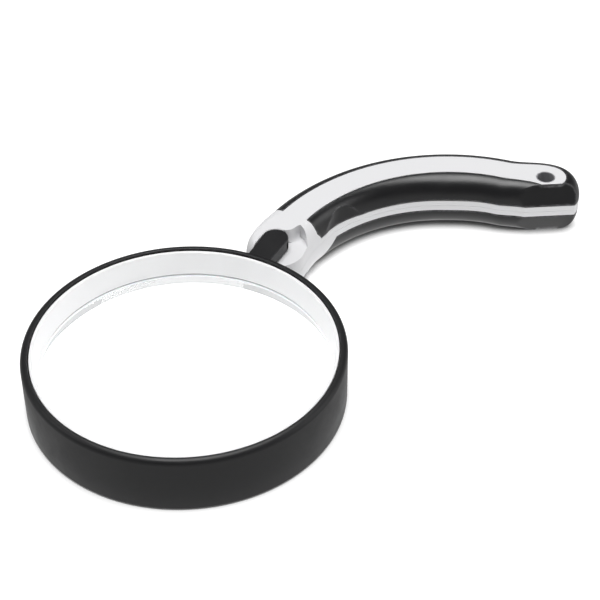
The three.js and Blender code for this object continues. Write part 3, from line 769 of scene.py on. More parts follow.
@dataclass(frozen=True)
class HandlePlan:
    """Sizes and plan of the handle, whose centre line is an arc round the folded frame."""

    frame_radius: float = 51.0
    height: float = 20.0
    fold_angle: float = 97.0
    sweep: float = 104.9
    barrel_radius: float = 10.1
    barrel_gap: float = 0.3
    grip_half: float = 10.6
    fold_clearance: float = 0.7
    collar_draw: float = 1.3
    tail_spread: float = 1.8
    strip_half: float = 4.7
    barrel_strip: float = 7.0
    tail_strip: float = 5.9
    stripe_height: float = 4.0
    flare_reach: float = 1.3
    tail_radius: float = 11.4
    tail_shift: float = 3.65
    facet_turn: float = 39.0
    facet_reach: float = 7.4
    facet_top_reach: float = 4.6
    facet_span: float = 18.0
    grip_depth: float = 1.6
    shell_wall: float = 1.4
    collar_sweep: float = 13.4
    stripe_stop: float = 6.7
    wrap_stop: float = 51.0
    collar_share: float = 0.14
    spread_shares: Flat = (0.2, 0.95)
    scoop_depth: tuple[Flat, ...] = ((0.158, 0), (0.2, 0.45), (0.25, 0.8), (0.3, 0.6), (0.34, 0.2), (0.36, 0))
    scoop_rim: tuple[Flat, ...] = ((0.1, 30), (0.158, 4), (0.183, 14), (0.213, 32), (0.24, 47), (0.263, 53),
                                   (0.288, 50), (0.32, 35), (0.345, 13), (0.36, 4), (0.42, 30))
    scoop_hollow: float = 0.12
    flare_share: float = 0.68
    tail_share: float = 0.87
    cavity_shares: Flat = (0.19, 0.84)
    crease: float = 0.16
    skin: float = 0.125
    slant: tuple[Flat, ...] = ((0, 2.6), (9, 1.7), (22, 0.1), (45, -0.5), (90, -0.8))
    under_slant: tuple[Flat, ...] = ((0, 12.5), (58, 4.5), (90, 1.0))
    slant_reach: Flat = (10.0, 30.0)
    facet_glance: float = 0.08
    halvings: int = 18

    @property
    def middle_z(self) -> float:
        """Return the height of the parting line."""
        return self.height / 2

    @property
    def stripe_top(self) -> float:
        """Return the height of the stripe's upper edge."""
        return self.middle_z + self.stripe_height / 2

    @property
    def far(self) -> float:
        """Return a length that reaches past the whole collar."""
        return 3 * self.barrel_radius

    @property
    def hinge(self) -> Flat:
        """Return the place of the hinge."""
        return self.frame_radius + self.barrel_radius + self.barrel_gap, 0.0

    @property
    def centre(self) -> Flat:
        """Return the centre of the handle's arc."""
        return moved(self.hinge, 180 + self.fold_angle, self.hinge[0])

    @property
    def mid_radius(self) -> float:
        """Return the arc radius of the middle of the grip."""
        return self.frame_radius + self.fold_clearance + self.grip_half

    @property
    def tail_angle(self) -> float:
        """Return the arc angle of the tail's centre."""
        return self.fold_angle - self.sweep

    @property
    def tail_distance(self) -> float:
        """Return the tail centre's distance from the arc's centre."""
        return self.mid_radius + self.tail_spread + self.tail_shift

    @property
    def tail(self) -> Flat:
        """Return the centre of the tail."""
        return moved(self.centre, self.tail_angle, self.tail_distance)

    @property
    def facet_way(self) -> Flat:
        """Return the direction that the tail's flat facet looks in."""
        return bearing(self.tail_angle + 180 + self.facet_turn)

    def angle(self, share: float) -> float:
        """Return the arc angle at a share of the sweep."""
        return self.fold_angle - self.sweep * share

    def share_at(self, angle: float) -> float:
        """Return the share of the sweep at an arc angle."""
        return (self.fold_angle - angle) / self.sweep

    def share_of(self, length: float) -> float:
        """Return the share of the sweep that a length along the handle spans."""
        return math.degrees(length / self.mid_radius) / self.sweep

    def from_hinge(self, share: float) -> float:
        """Return how far the section has changed from the barrel to the grip."""
        return smooth(share, 0, self.collar_share)

    def to_tail(self, share: float) -> float:
        """Return how far the section has changed from the grip to the tail."""
        return smooth(share, self.tail_share, 1)

    def centre_radius(self, share: float) -> float:
        """Return the centre line's distance from the arc's centre."""
        drift = lerp(-self.collar_draw, self.tail_spread, smooth(share, *self.spread_shares))
        grip = lerp(self.hinge[0], self.mid_radius + drift, self.from_hinge(share))
        return grip + self.tail_shift * self.to_tail(share)

    def outer_radius(self, share: float) -> float:
        """Return the convex wall's distance from the arc's centre."""
        grip = lerp(self.barrel_radius, self.grip_half, self.from_hinge(share))
        return self.centre_radius(share) + lerp(grip, self.tail_radius, self.to_tail(share))

    def inner_radius(self, share: float) -> float:
        """Return the concave wall's distance from the arc's centre."""
        nested = lerp(self.hinge[0] - self.barrel_radius, self.frame_radius + self.fold_clearance,
                      self.from_hinge(share))
        flare = self.flare_reach * smooth(share, self.flare_share, self.tail_share)
        return lerp(nested + flare, self.tail_distance - self.tail_radius, self.to_tail(share))

    def strip_width(self, share: float) -> float:
        """Return half the width of the flat strip."""
        strip = lerp(self.barrel_strip, self.strip_half, self.from_hinge(share))
        return lerp(strip, self.tail_strip, self.to_tail(share))

    def outer_station(self, share: float) -> Station:
        """Return the station on the convex side at a share of the sweep."""
        middle = self.centre_radius(share)
        way = bearing(self.angle(share))
        return Station(moved(self.centre, self.angle(share), middle), way, self.strip_width(share),
                       self.outer_radius(share) - middle - self.skin * self.from_hinge(share))

    def inner_station(self, share: float) -> Station:
        """Return the station on the concave side at a share of the sweep."""
        middle = self.centre_radius(share)
        way = bearing(self.angle(share) + 180)
        return Station(moved(self.centre, self.angle(share), middle), way, self.strip_width(share),
                       middle - self.inner_radius(share) - self.skin * self.from_hinge(share),
                       between(self.scoop_depth, share),
                       between(self.scoop_rim, share))

    def slant_fade(self, share: float) -> float:
        """Return how much of the slant of the collar's edge acts at a share of the sweep."""
        past = (share - self.collar_sweep / self.sweep) / self.share_of(1)
        return 1 - smooth(abs(past), 0, self.slant_reach[past > 0])

    def outer_lean(self, share: float, turn: float, side: Side) -> float:
        """Return how far a convex section leans along the handle at a turn of its flank."""
        return self.share_of(between(self.slant, turn)) * self.slant_fade(share)

    def inner_lean(self, share: float, turn: float, side: Side) -> float:
        """Return how far a concave section leans along the handle at a turn of its flank."""
        rows = self.slant if side is Side.UPPER else self.under_slant
        return self.share_of(between(rows, turn)) * self.slant_fade(share)

    def tail_station(self, angle: float) -> Station:
        """Return the station round the tail that looks along an angle."""
        return Station(self.tail, bearing(angle), self.tail_strip, self.tail_radius - self.skin)

    def barrel_station(self, angle: float) -> Station:
        """Return the station round the barrel that looks along an angle."""
        return Station(self.hinge, bearing(angle), self.barrel_strip, self.barrel_radius)

    def facet_limit(self, station: Station, z: float, inset: float) -> float:
        """Return how wide the flat facet lets a section be at a height.

        Args:
            station: The place on the handle.
            z: Height from the table.
            inset: Depth under the outer surface.

        Returns:
            The width at which the section meets the facet, or infinity where it looks away.
        """
        way = self.facet_way
        facing = station.way[0] * way[0] + station.way[1] * way[1]
        if facing < self.facet_glance or math.dist(station.base, self.tail) > self.facet_span:
            return math.inf
        rise = max(abs(z - self.middle_z) - self.stripe_height / 2, 0)
        lean = (self.facet_reach - self.facet_top_reach) / (self.middle_z - self.stripe_height / 2)
        offset = (station.base[0] - self.tail[0]) * way[0] + (station.base[1] - self.tail[1]) * way[1]
        return (self.facet_reach - inset - lean * rise - offset) / facing

    def width(self, station: Station, spread: float, z: float, inset: float = 0.0,
              pressed: float = 1.0) -> float:
        """Return a section's half width at a level of the flank.

        Args:
            station: The place on the handle.
            spread: 1 at the stripe and 0 at the flat strip.
            z: Height of the level.
            inset: Depth under the outer surface.
            pressed: Share of the thumb scoop that acts at the level.

        Returns:
            The distance from the centre line.
        """
        full = station.full - inset
        wide = lerp(station.strip, full, spread)
        if station.scoop > 0 and pressed > 0:
            wide = min(wide, self.scooped(station, z, inset, pressed))
        limit = self.facet_limit(station, z, inset)
        return wide if limit == math.inf else soft_min(wide, limit, self.crease)

    def scooped(self, station: Station, z: float, inset: float, pressed: float) -> float:
        """Return how wide the thumb scoop lets a section be at a height.

        Args:
            station: The place on the handle.
            z: Height from the table.
            inset: Depth under the outer surface.
            pressed: Share of the scoop that acts at the level.

        Returns:
            The width of the scoop's hollow, or infinity above its rim.
        """
        turn = math.radians(station.rim)
        rise = (self.height - self.stripe_top - inset) * math.sin(turn)
        share = (z - self.stripe_top) / rise
        if share >= 1:
            return math.inf
        full = station.full - inset
        rim = lerp(station.strip, full, math.cos(turn))
        foot = full - min(station.scoop, full - rim) * pressed
        if share <= 0:
            return foot
        return lerp(foot, rim, share) - self.scoop_hollow * math.sin(math.pi * share) * math.sin(turn)

    def level(self, station: Station, turn: float, inset: float = 0.0, side: Side = Side.UPPER) -> Flat:
        """Return a section's width and height at a turn of the flank's ellipse in degrees."""
        rise = self.height - self.stripe_top - inset
        z = self.stripe_top + rise * math.sin(math.radians(turn))
        pressed = 1.0 if side is Side.UPPER else 0.0
        return self.width(station, max(math.cos(math.radians(turn)), 0.0), z, inset, pressed), z

    def face(self, station: Station, z: float, side: Side, inset: float = 0.0) -> float:
        """Return the half width at a height of the stripe, which tilts inside the thumb scoop."""
        rise = (z - self.middle_z) * side.value + self.stripe_height / 2
        return self.width(station, 1, z, inset, clamp(rise / self.stripe_height))

    def height_at(self, station: Station, width: float) -> float:
        """Return the outer surface's height at a distance from the centre line.

        Args:
            station: The place on the handle.
            width: Distance from the centre line, beyond the flat strip's edge.

        Returns:
            The height of the ellipse or of the facet, whichever is lower.
        """
        rise = self.height - self.stripe_top
        share = clamp((width - station.strip) / max(station.full - station.strip, 0.01))
        z = self.stripe_top + rise * math.sqrt(1 - share * share)
        if self.facet_limit(station, self.height, 0) < width:
            z = min(z, halved(self.stripe_top, self.height,
                              lambda level: self.facet_limit(station, level, 0) > width, self.halvings))
        return z

    def at(self, station: Station, width: float, z: float) -> Point:
        """Return the point at a width and height of a station's section."""
        return (station.base[0] + station.way[0] * width, station.base[1] + station.way[1] * width, z)


class Zone(Enum):
    """What covers the handle's side at a station."""

    COLLAR = "bare shell"
    GRIP = "grip above the stripe"
    WRAP = "grip over the full height"


@dataclass(frozen=True)
class Column:
    """A place round the handle's side, whose section may lean along the handle."""

    make: Callable[[float], Station]
    value: float
    zone: Zone
    lean: Callable[[float, float, Side], float] | None = None
    drop: float = 0.0

    def station(self, turn: float, side: Side) -> Station:
        """Return the station of the section's points at a turn of the flank."""
        if self.lean is None:
            return self.make(self.value)
        return self.make(self.value + self.lean(self.value, turn, side))


@dataclass
class Handle:
    """The handle: two moulded shells, two soft grips, the lanyard eyelet and the case screws."""

    shop: Workshop
    palette: Palette
    plan: HandlePlan = field(default_factory=HandlePlan)
    side_steps: int = 190
    inner_density: float = 1.5
    fewest_steps: int = 4
    tail_steps: int = 84
    barrel_steps: int = 56
    flank_steps: int = 30
    hollow_steps: int = 60
    room_steps: int = 24
    seam: float = 0.07
    column_gap: float = 0.01
    wrap_overlap: float = 0.05
    shell_round: float = 0.14
    shell_turns: tuple[float, ...] = (0, 30, 60, 90)
    bare_edge: tuple[float, ...] = (1, 0.7, 0.3, 0)
    bare_foot: tuple[float, ...] = (0.2, 0.5, 0.8, 1)
    grip_round: float = 0.28
    grip_turns: tuple[float, ...] = (0, 22, 45, 68, 90)
    grip_foot: Flat = (0.4, 0.8)
    grip_inner_steps: int = 6
    grip_skin: float = 1.45
    grip_crease: float = 24.0
    parting_break: float = 0.09
    eyelet_bore: float = 2.9
    eyelet_wall: float = 0.35
    eyelet_inset: float = 1.2
    eyelet_back: float = 0.7
    eyelet_sink: float = 0.02
    ear_height: float = 4.5
    ear_head: float = 4.3
    ear_gap: float = 0.3
    ear_face_gap: float = 0.5
    deck_bow: tuple[Flat, ...] = ((4.6, -0.4), (5.0, -1.6), (5.9, -2.7), (7.2, -3.5), (8.7, -3.8))
    deck_levels: tuple[Flat, ...] = ((0, 2.0), (0.3, 1.3), (0.9, 0.7), (1.8, 0.25), (3.2, 0), (5, -0.1),
                                     (7, -0.1))
    deck_radius: float = 10.7
    deck_turns: Flat = (-24.0, -110.0)
    bush_hole: float = 2.7
    screw_shares: tuple[float, ...] = (0.25, 0.52, 0.78)
    screw_radius: float = 1.1
    screw_head: float = 1.9
    screw_head_height: float = 1.3
    screw_head_round: float = 0.45
    screw_sink: float = 0.6
    screw_seat: float = 0.05
    screw_length: float = 12.0
    screw_gap: float = 0.2
    screw_tip: Flat = (0.5, 0.6)
    thread: Flat = (0.2, 0.3)
    recess_levels: tuple[Point, ...] = ((-1, 1.25, 0.24), (0, 1.2, 0.24), (0.75, 0.45, 0.14))
    recess_turns: Flat = (20.0, 35.0)
    boss_radius: float = 2.5
    boss_drop: float = 0.3
    flare: float = 0.22

    def build(self) -> None:
        """Build and dress every piece of the handle."""
        for side in Side:
            self.shell(side)
            self.grip(side)
        self.eyelet()
        for number, place in enumerate(self.screw_places(), 1):
            self.case_screw(number, place)

    def stops(self) -> tuple[float, float]:
        """Return the shares where the collar ends and where the tail's wrap starts."""
        plan = self.plan
        return plan.collar_sweep / plan.sweep, plan.share_at(plan.stripe_stop)

    def outer(self, low: float, high: float, zone: Zone) -> list[Column]:
        """Return even columns of the convex side between two shares."""
        steps = max(self.fewest_steps, round(self.side_steps * (high - low)))
        return [Column(self.plan.outer_station, share, zone, self.plan.outer_lean)
                for share in span(low, high, steps)]

    def inner(self, low: float, high: float, zone: Zone) -> list[Column]:
        """Return even columns of the concave side between two shares."""
        steps = max(self.fewest_steps, round(self.side_steps * abs(high - low) * self.inner_density))
        return [Column(self.plan.inner_station, share, zone, self.plan.inner_lean)
                for share in span(low, high, steps)]

    def round_tail(self, gap: float) -> list[Column]:
        """Return the columns round the tail, where the wrap ends, without the first and last."""
        plan = self.plan
        start, stop, end = plan.tail_angle, gap - plan.wrap_stop, plan.tail_angle - 180
        rows = [(Zone.WRAP, angle) for angle in span(start, stop, self.tail_steps // 4)[1:]]
        rows += [(Zone.GRIP, angle) for angle in span(stop - self.wrap_overlap, end, self.tail_steps)[:-1]]
        return [Column(plan.tail_station, angle, zone) for zone, angle in rows]

    def columns(self) -> list[Column]:
        """Return the columns all round the handle.

        Returns:
            The convex side from the hinge, the tail, the concave side and the barrel. Two
            columns lie together where the cover changes.
        """
        plan = self.plan
        collar, wrap = self.stops()
        step = plan.share_of(self.column_gap)
        rows = self.outer(0, collar, Zone.COLLAR)
        rows += self.outer(collar + step, wrap, Zone.GRIP) + self.outer(wrap + step, 1, Zone.WRAP)
        rows += self.round_tail(0)
        rows += self.inner(1, collar + step, Zone.GRIP) + self.inner(collar, 0, Zone.COLLAR)
        rows += [Column(plan.barrel_station, angle, Zone.COLLAR)
                 for angle in span(plan.fold_angle + 180, plan.fold_angle, self.barrel_steps)[1:-1]]
        return rows

    def turns(self, high: float, low: float, rim: float) -> list[float]:
        """Return the turns of a flank's points from high to low, one of them on the scoop's rim."""
        rest = self.flank_steps // 3
        return span(high, rim, self.flank_steps - rest) + span(rim, low, rest)[1:]

    def flipped(self, z: float, side: Side) -> float:
        """Return an upper half's height, mirrored to the underside for the lower half."""
        return z if side is Side.UPPER else self.plan.height - z

    def point(self, station: Station, width: float, z: float, side: Side) -> Point:
        """Return a section's point, mirrored to the underside for the lower half."""
        return self.plan.at(station, width, self.flipped(z, side))

    def shell_section(self, column: Column, side: Side) -> list[Point]:
        """Return a shell's section from the strip's edge to the parting line.

        Args:
            column: The place round the handle.
            side: The upper or the lower half.

        Returns:
            Points of equal count for every cover.
        """
        plan, soft, broken = self.plan, self.shell_round, self.parting_break
        top, mid, stripe = plan.height, plan.middle_z, plan.stripe_top
        bends = [bearing(turn) for turn in self.shell_turns]
        crest, foot = column.station(90, side), column.station(0, side)
        edge = plan.level(crest, 90)[0]
        bare = column.zone is Zone.COLLAR
        depth = 0.0 if bare else plan.grip_depth
        if bare:
            lips = [(edge - soft * share, top) for share in self.bare_edge]
        else:
            lips = [(edge - soft + soft * sine, top - soft + soft * cosine) for cosine, sine in bends]
        points = [self.point(crest, wide, z, side) for wide, z in lips]
        for turn in self.turns(90, 0, column.station(30, side).rim):
            station = column.station(turn, side)
            points.append(self.point(station, *plan.level(station, turn, depth, side), side))
        under = plan.grip_depth if column.zone is Zone.WRAP else 0.0
        if column.zone is Zone.GRIP:
            full = plan.face(foot, stripe, side)
            lips = [(full - soft + soft * sine, stripe - soft + soft * cosine) for cosine, sine in bends]
        else:
            lips = [(plan.face(foot, z, side, under), z)
                    for z in (stripe - soft * share for share in self.bare_foot)]
        full = plan.face(foot, mid + broken, side, under)
        lips += [(full, mid + broken), (full - broken, mid)]
        return points + [self.point(foot, wide, z, side) for wide, z in lips]

    def shell(self, side: Side) -> None:
        """Build one moulded shell with its hollow, screw bosses and holes."""
        plan, shop = self.plan, self.shop
        name = f"shell_{side.name.lower()}"
        sections = [self.shell_section(column, side) for column in self.columns()]
        piece = shop.skin(name, list(zip(*sections)))
        shop.combine(piece, self.hollow(side))
        inside = self.span_z(side, plan.middle_z, plan.height - plan.grip_depth - self.boss_drop)
        for place in self.screw_places():
            boss = shop.drum("boss", self.boss_radius, inside, place, Sides.PIN)
            shop.combine(piece, boss, operation="UNION")
            shop.combine(piece, self.screw_room(place))
        shop.combine(piece, *self.hinge_room(side), self.eyelet_room())
        if side is Side.UPPER:
            shop.combine(piece, *FoldLock(shop, self.palette).rooms())
        fit(piece, Body.HANDLE, self.palette, "shell_white", f"handle_{name}")

    def span_z(self, side: Side, low: float, high: float) -> Flat:
        """Return an upper height range, or the same range mirrored to the underside."""
        first, second = sorted((self.flipped(low, side), self.flipped(high, side)))
        return first, second

    def hollow(self, side: Side) -> Piece:
        """Build the tool that hollows a shell between its two solid ends."""
        plan = self.plan
        inset = plan.grip_depth + plan.shell_wall
        sections = []
        for share in span(*plan.cavity_shares, self.hollow_steps):
            outer, inner = plan.outer_station(share), plan.inner_station(share)
            ring: list[Point] = []
            for station, turns in ((outer, span(0, 90, 6)), (inner, span(90, 0, 6))):
                slim = Station(station.base, station.way, station.strip - plan.shell_wall, station.full,
                               station.scoop)
                ring += [self.point(slim, *plan.level(slim, turn, inset), side) for turn in turns]
            for station in (inner, outer):
                wide = plan.width(station, 1, plan.middle_z, inset)
                ring.append(self.point(station, wide, plan.middle_z - PAST, side))
            sections.append(ring)
        return self.shop.skin("hollow", sections)

    def hinge_room(self, side: Side) -> list[Piece]:
        """Build the tools that make room for the ear, the bush and the click ball."""
        plan, shop, flare = self.plan, self.shop, self.flare
        hinge, fold, top = plan.hinge, plan.fold_angle, plan.height
        reach, far = self.ear_head + self.ear_gap, plan.far
        floor = top - self.ear_height - self.ear_face_gap
        levels, deck = [], []
        for z, extra in ((floor, 0.0), (top - flare, 0.0), (top, flare), (top + 2 * PAST, flare)):
            rim = arc(hinge, reach + extra, fold - 90, 90, self.room_steps)
            levels.append((self.flipped(z, side), [
                moved(rim[0], 180 + fold, far), *rim, moved(rim[-1], 180, far),
                moved(hinge, 180 + fold / 2, 2 * far)]))
        for lift, inset in self.deck_levels:
            bow = [(hinge[0] + x, hinge[1] + y - inset) for x, y in self.deck_bow]
            deck.append((self.flipped(floor + lift, side), [
                hinge, *bow, *arc(hinge, self.deck_radius, *self.deck_turns, self.room_steps),
                moved(hinge, self.deck_turns[1], far)]))
        through = self.span_z(side, plan.middle_z - PAST, top + PAST)
        return [shop.prism("ear_room", levels), shop.prism("deck_room", deck),
                shop.drum("bush_room", self.bush_hole, through, hinge, Sides.BUSH)]

    def screw_places(self) -> list[Flat]:
        """Return the plan places of the case screws."""
        plan = self.plan
        return [moved(plan.centre, plan.angle(share), plan.centre_radius(share))
                for share in self.screw_shares]

    def screw_room(self, place: Flat) -> Piece:
        """Build the tool for a counterbored screw hole that opens at the underside."""
        wide, slim = self.screw_head + self.screw_gap, self.screw_radius + self.screw_gap
        ledge = self.screw_sink + self.screw_head_height
        end = ledge + self.screw_length + self.screw_gap
        profile = [(0, -PAST), (wide + self.flare, -PAST), (wide + self.flare, 0), (wide, self.flare),
                   (wide, ledge), (slim, ledge), (slim, end), (0, end + slim / 2)]
        return self.shop.lathe("screw_room", profile, place, Sides.SCREW)

    @property
    def eyelet_place(self) -> Flat:
        """Return the plan place of the lanyard hole."""
        plan = self.plan
        return moved(plan.centre, plan.tail_angle + self.eyelet_back, plan.tail_distance - self.eyelet_inset)

    def eyelet_room(self) -> Piece:
        """Build the tool for the eyelet's hole through both shells."""
        wide = self.eyelet_bore + self.eyelet_wall + self.seam
        top, soft = self.plan.height, self.flare / 2
        profile = [(0, -PAST), (wide + soft, -PAST), (wide + soft, 0), (wide, soft), (wide, top - soft),
                   (wide + soft, top), (wide + soft, top + PAST), (0, top + PAST)]
        return self.shop.lathe("eyelet_room", profile, self.eyelet_place)

    def eyelet(self) -> None:
        """Build the lined lanyard hole with its rounded lips."""
        lip = self.eyelet_wall / 2
        middle, edge = self.eyelet_bore + lip, lip + self.eyelet_sink
        profile = [*arc((middle, self.plan.height - edge), lip, 0, 180, 10),
                   *arc((middle, edge), lip, 180, 360, 10)]
        piece = self.shop.lathe("lanyard_eyelet_sleeve", profile, self.eyelet_place)
        fit(piece, Body.HANDLE, self.palette, "eyelet_black", "lanyard_eyelet")

    def grip_section(self, column: Column, side: Side) -> list[Point]:
        """Return a grip's closed section.

        Args:
            column: The place round the handle.
            side: The upper or the lower half.

        Returns:
            Points of equal count, whether the grip stops at the stripe or covers the full height.
        """
        plan, soft, drop = self.plan, self.grip_round, column.drop
        crest, foot = column.station(90, side), column.station(0, side)
        wall = plan.level(crest, 90)[0] + self.seam
        points: list[Point] = []
        z = plan.height
        for cosine, sine in map(bearing, self.grip_turns):
            wide = wall + soft * (1 - cosine)
            z = plan.height_at(crest, wide) - soft * (1 - sine)
            points.append(self.point(crest, wide, z - drop, side))
        rise = plan.height - plan.stripe_top
        start = math.degrees(math.asin(clamp((z - plan.stripe_top) / rise)))
        bottom = base = plan.stripe_top + self.seam
        low = math.degrees(math.asin((self.seam + soft) / rise))
        for turn in self.turns(start, low, column.station(30, side).rim)[1:]:
            station = column.station(turn, side)
            points.append(self.point(station, *plan.level(station, turn, drop, side), side))
        full = plan.face(foot, plan.stripe_top, side) - drop
        if column.zone is Zone.WRAP:
            base, soft = plan.middle_z + self.seam / 2, self.seam
        points += [self.point(foot, full, lerp(bottom + self.grip_round, base + soft, share), side)
                   for share in self.grip_foot]
        points += [self.point(foot, full - soft * (1 - cosine), base + soft * (1 - sine), side)
                   for cosine, sine in map(bearing, self.shell_turns)]
        for turn in span(0, 90, self.grip_inner_steps):
            station = column.station(turn, side)
            wide, z = plan.level(station, turn, self.grip_skin, side)
            points.append(self.point(station, wall if turn == 90 else wide, base if turn == 0 else z, side))
        return points

    def grip(self, side: Side) -> None:
        """Build one soft grip, which runs from the collar round the tail and back."""
        plan, soft = self.plan, self.grip_round
        collar, wrap = self.stops()
        ends = [(collar + plan.share_of(soft * (1 - cosine) + self.seam), soft * (1 - sine))
                for cosine, sine in map(bearing, self.grip_turns)]
        first, gap = ends[-1][0], plan.share_of(self.seam)
        rows = [Column(plan.outer_station, share, Zone.GRIP, plan.outer_lean, drop) for share, drop in ends]
        rows += self.outer(first, wrap - gap, Zone.GRIP)[1:] + self.outer(wrap + gap, 1, Zone.WRAP)
        rows += self.round_tail(math.degrees(self.seam / plan.tail_radius))
        rows += self.inner(1, first, Zone.GRIP)[:-1]
        rows += [Column(plan.inner_station, share, Zone.GRIP, plan.inner_lean, drop)
                 for share, drop in reversed(ends)]
        name = f"grip_{side.name.lower()}"
        sections = [self.grip_section(column, side) for column in rows]
        piece = self.shop.skin(f"soft_{name}", sections)
        fit(piece, Body.HANDLE, self.palette, "grip_rubber", name, self.grip_crease)

    def case_screw(self, number: int, place: Flat) -> None:
        """Build a pan-head case screw with a cross recess, which faces the underside."""
        low, soft = self.screw_sink, self.screw_head_round
        head, slim = self.screw_head, self.screw_radius
        depth, rise = self.thread
        draw, tip = self.screw_tip
        ledge = low + self.screw_head_height - self.screw_seat
        end = ledge + self.screw_length
        profile = [(0, low), *arc((head - soft, low + soft), soft, 270, 360, 6), (head, ledge), (slim, ledge)]
        for turn in range(1, int(self.screw_length) - 1):
            z = ledge + turn
            profile += [(slim, z), (slim - depth, z + rise), (slim, z + 2 * rise)]
        profile += [(slim, end - tip), (slim - draw, end), (0, end)]
        piece = self.shop.lathe(f"case_screw_body_{number}", profile, place, Sides.SCREW)
        start, step = self.recess_turns
        turns = (start + step * number, start + step * number + 90)
        self.shop.combine(piece, *(self.recess(place, turn, low) for turn in turns))
        fit(piece, Body.HANDLE, self.palette, "screw_steel", f"case_screw_{number}")

    def recess(self, place: Flat, angle: float, low: float) -> Piece:
        """Build one tapered blade of a cross recess."""
        levels = []
        for z, half_long, half_thick in self.recess_levels:
            corners = [(-half_long, -half_thick), (half_long, -half_thick), (half_long, half_thick),
                       (-half_long, half_thick)]
            levels.append((low + z, [moved(moved(place, angle, x), angle + 90, y) for x, y in corners]))
        return self.shop.prism("recess", levels)


# ---------------------------------------------------------------- frame and lens


@dataclass
class LensFrame:
    """The round frame with the two ears of the hinge."""

    shop: Workshop
    palette: Palette
    diameter: float = 102.0
    height: float = 20.0
    wall: float = 2.4
    top_round: float = 1.8
    foot_round: float = 1.0
    rim_round: float = 0.4
    lip_reach: float = 1.8
    lip_height: float = 1.4
    lip_flare: float = 1.2
    ear_height: float = 4.5
    ear_head: float = 4.3
    ear_half: float = 4.1
    ear_round: float = 0.3
    screw_hole: float = 1.6
    head_hole: float = 2.7
    head_depth: float = 2.1
    insert_hole: float = 2.5
    insert_cover: float = 1.2
    hinge: Flat = (61.4, 0.0)
    lip_break: float = 0.1
    hole_flare: float = 0.12
    crease: float = 32.0

    def build(self) -> None:
        """Build the ring, join its ears and cut the hinge holes."""
        shop, top, soft, flare = self.shop, self.height, self.rim_round, self.hole_flare
        radius, bore = self.diameter / 2, self.diameter / 2 - self.wall
        lip = bore - self.lip_reach
        profile = [
            (lip + self.lip_flare, 0),
            *arc((radius - self.foot_round, self.foot_round), self.foot_round, 270, 360, 8),
            *arc((radius - self.top_round, top - self.top_round), self.top_round, 0, 90, 12),
            *arc((bore + soft, top - soft), soft, 90, 180, 6),
            (bore, self.lip_height), (lip + self.lip_break, self.lip_height),
            (lip, self.lip_height - self.lip_break),
        ]
        piece = shop.lathe("frame_moulding", profile, sides=Sides.FRAME)
        shop.combine(piece, self.ear(0.0, self.ear_height), self.ear(top - self.ear_height, top),
                     operation="UNION")
        lower = [(0, -PAST), (self.head_hole + flare, -PAST), (self.head_hole + flare, 0),
                 (self.head_hole, flare),
                 (self.head_hole, self.head_depth), (self.screw_hole, self.head_depth),
                 (self.screw_hole, self.ear_height + PAST), (0, self.ear_height + PAST)]
        upper = (top - self.ear_height - PAST, top - self.insert_cover)
        shop.combine(piece, shop.lathe("hole", lower, self.hinge, Sides.HINGE),
                     shop.drum("hole", self.insert_hole, upper, self.hinge, Sides.HINGE),
                     *FoldLock(shop, self.palette).notches(self.hinge))
        fit(piece, Body.FRAME, self.palette, "frame_plastic", "lens_frame", self.crease)

    def ear(self, low: float, high: float) -> Piece:
        """Build one ear with rounded edges, from the frame's wall to its head about the hinge."""
        root = self.diameter / 2 - self.wall / 2
        soft = self.ear_round
        levels = []
        for middle, turns in ((low + soft, span(-90, 0, 4)), (high - soft, span(0, 90, 4))):
            for turn in map(math.radians, turns):
                inset = soft * (1 - math.cos(turn))
                outline = [(root, -self.ear_half + inset),
                           *arc(self.hinge, self.ear_head - inset, -96, 96, 48),
                           (root, self.ear_half - inset)]
                levels.append((middle + soft * math.sin(turn), outline))
        return self.shop.prism("ear", levels)


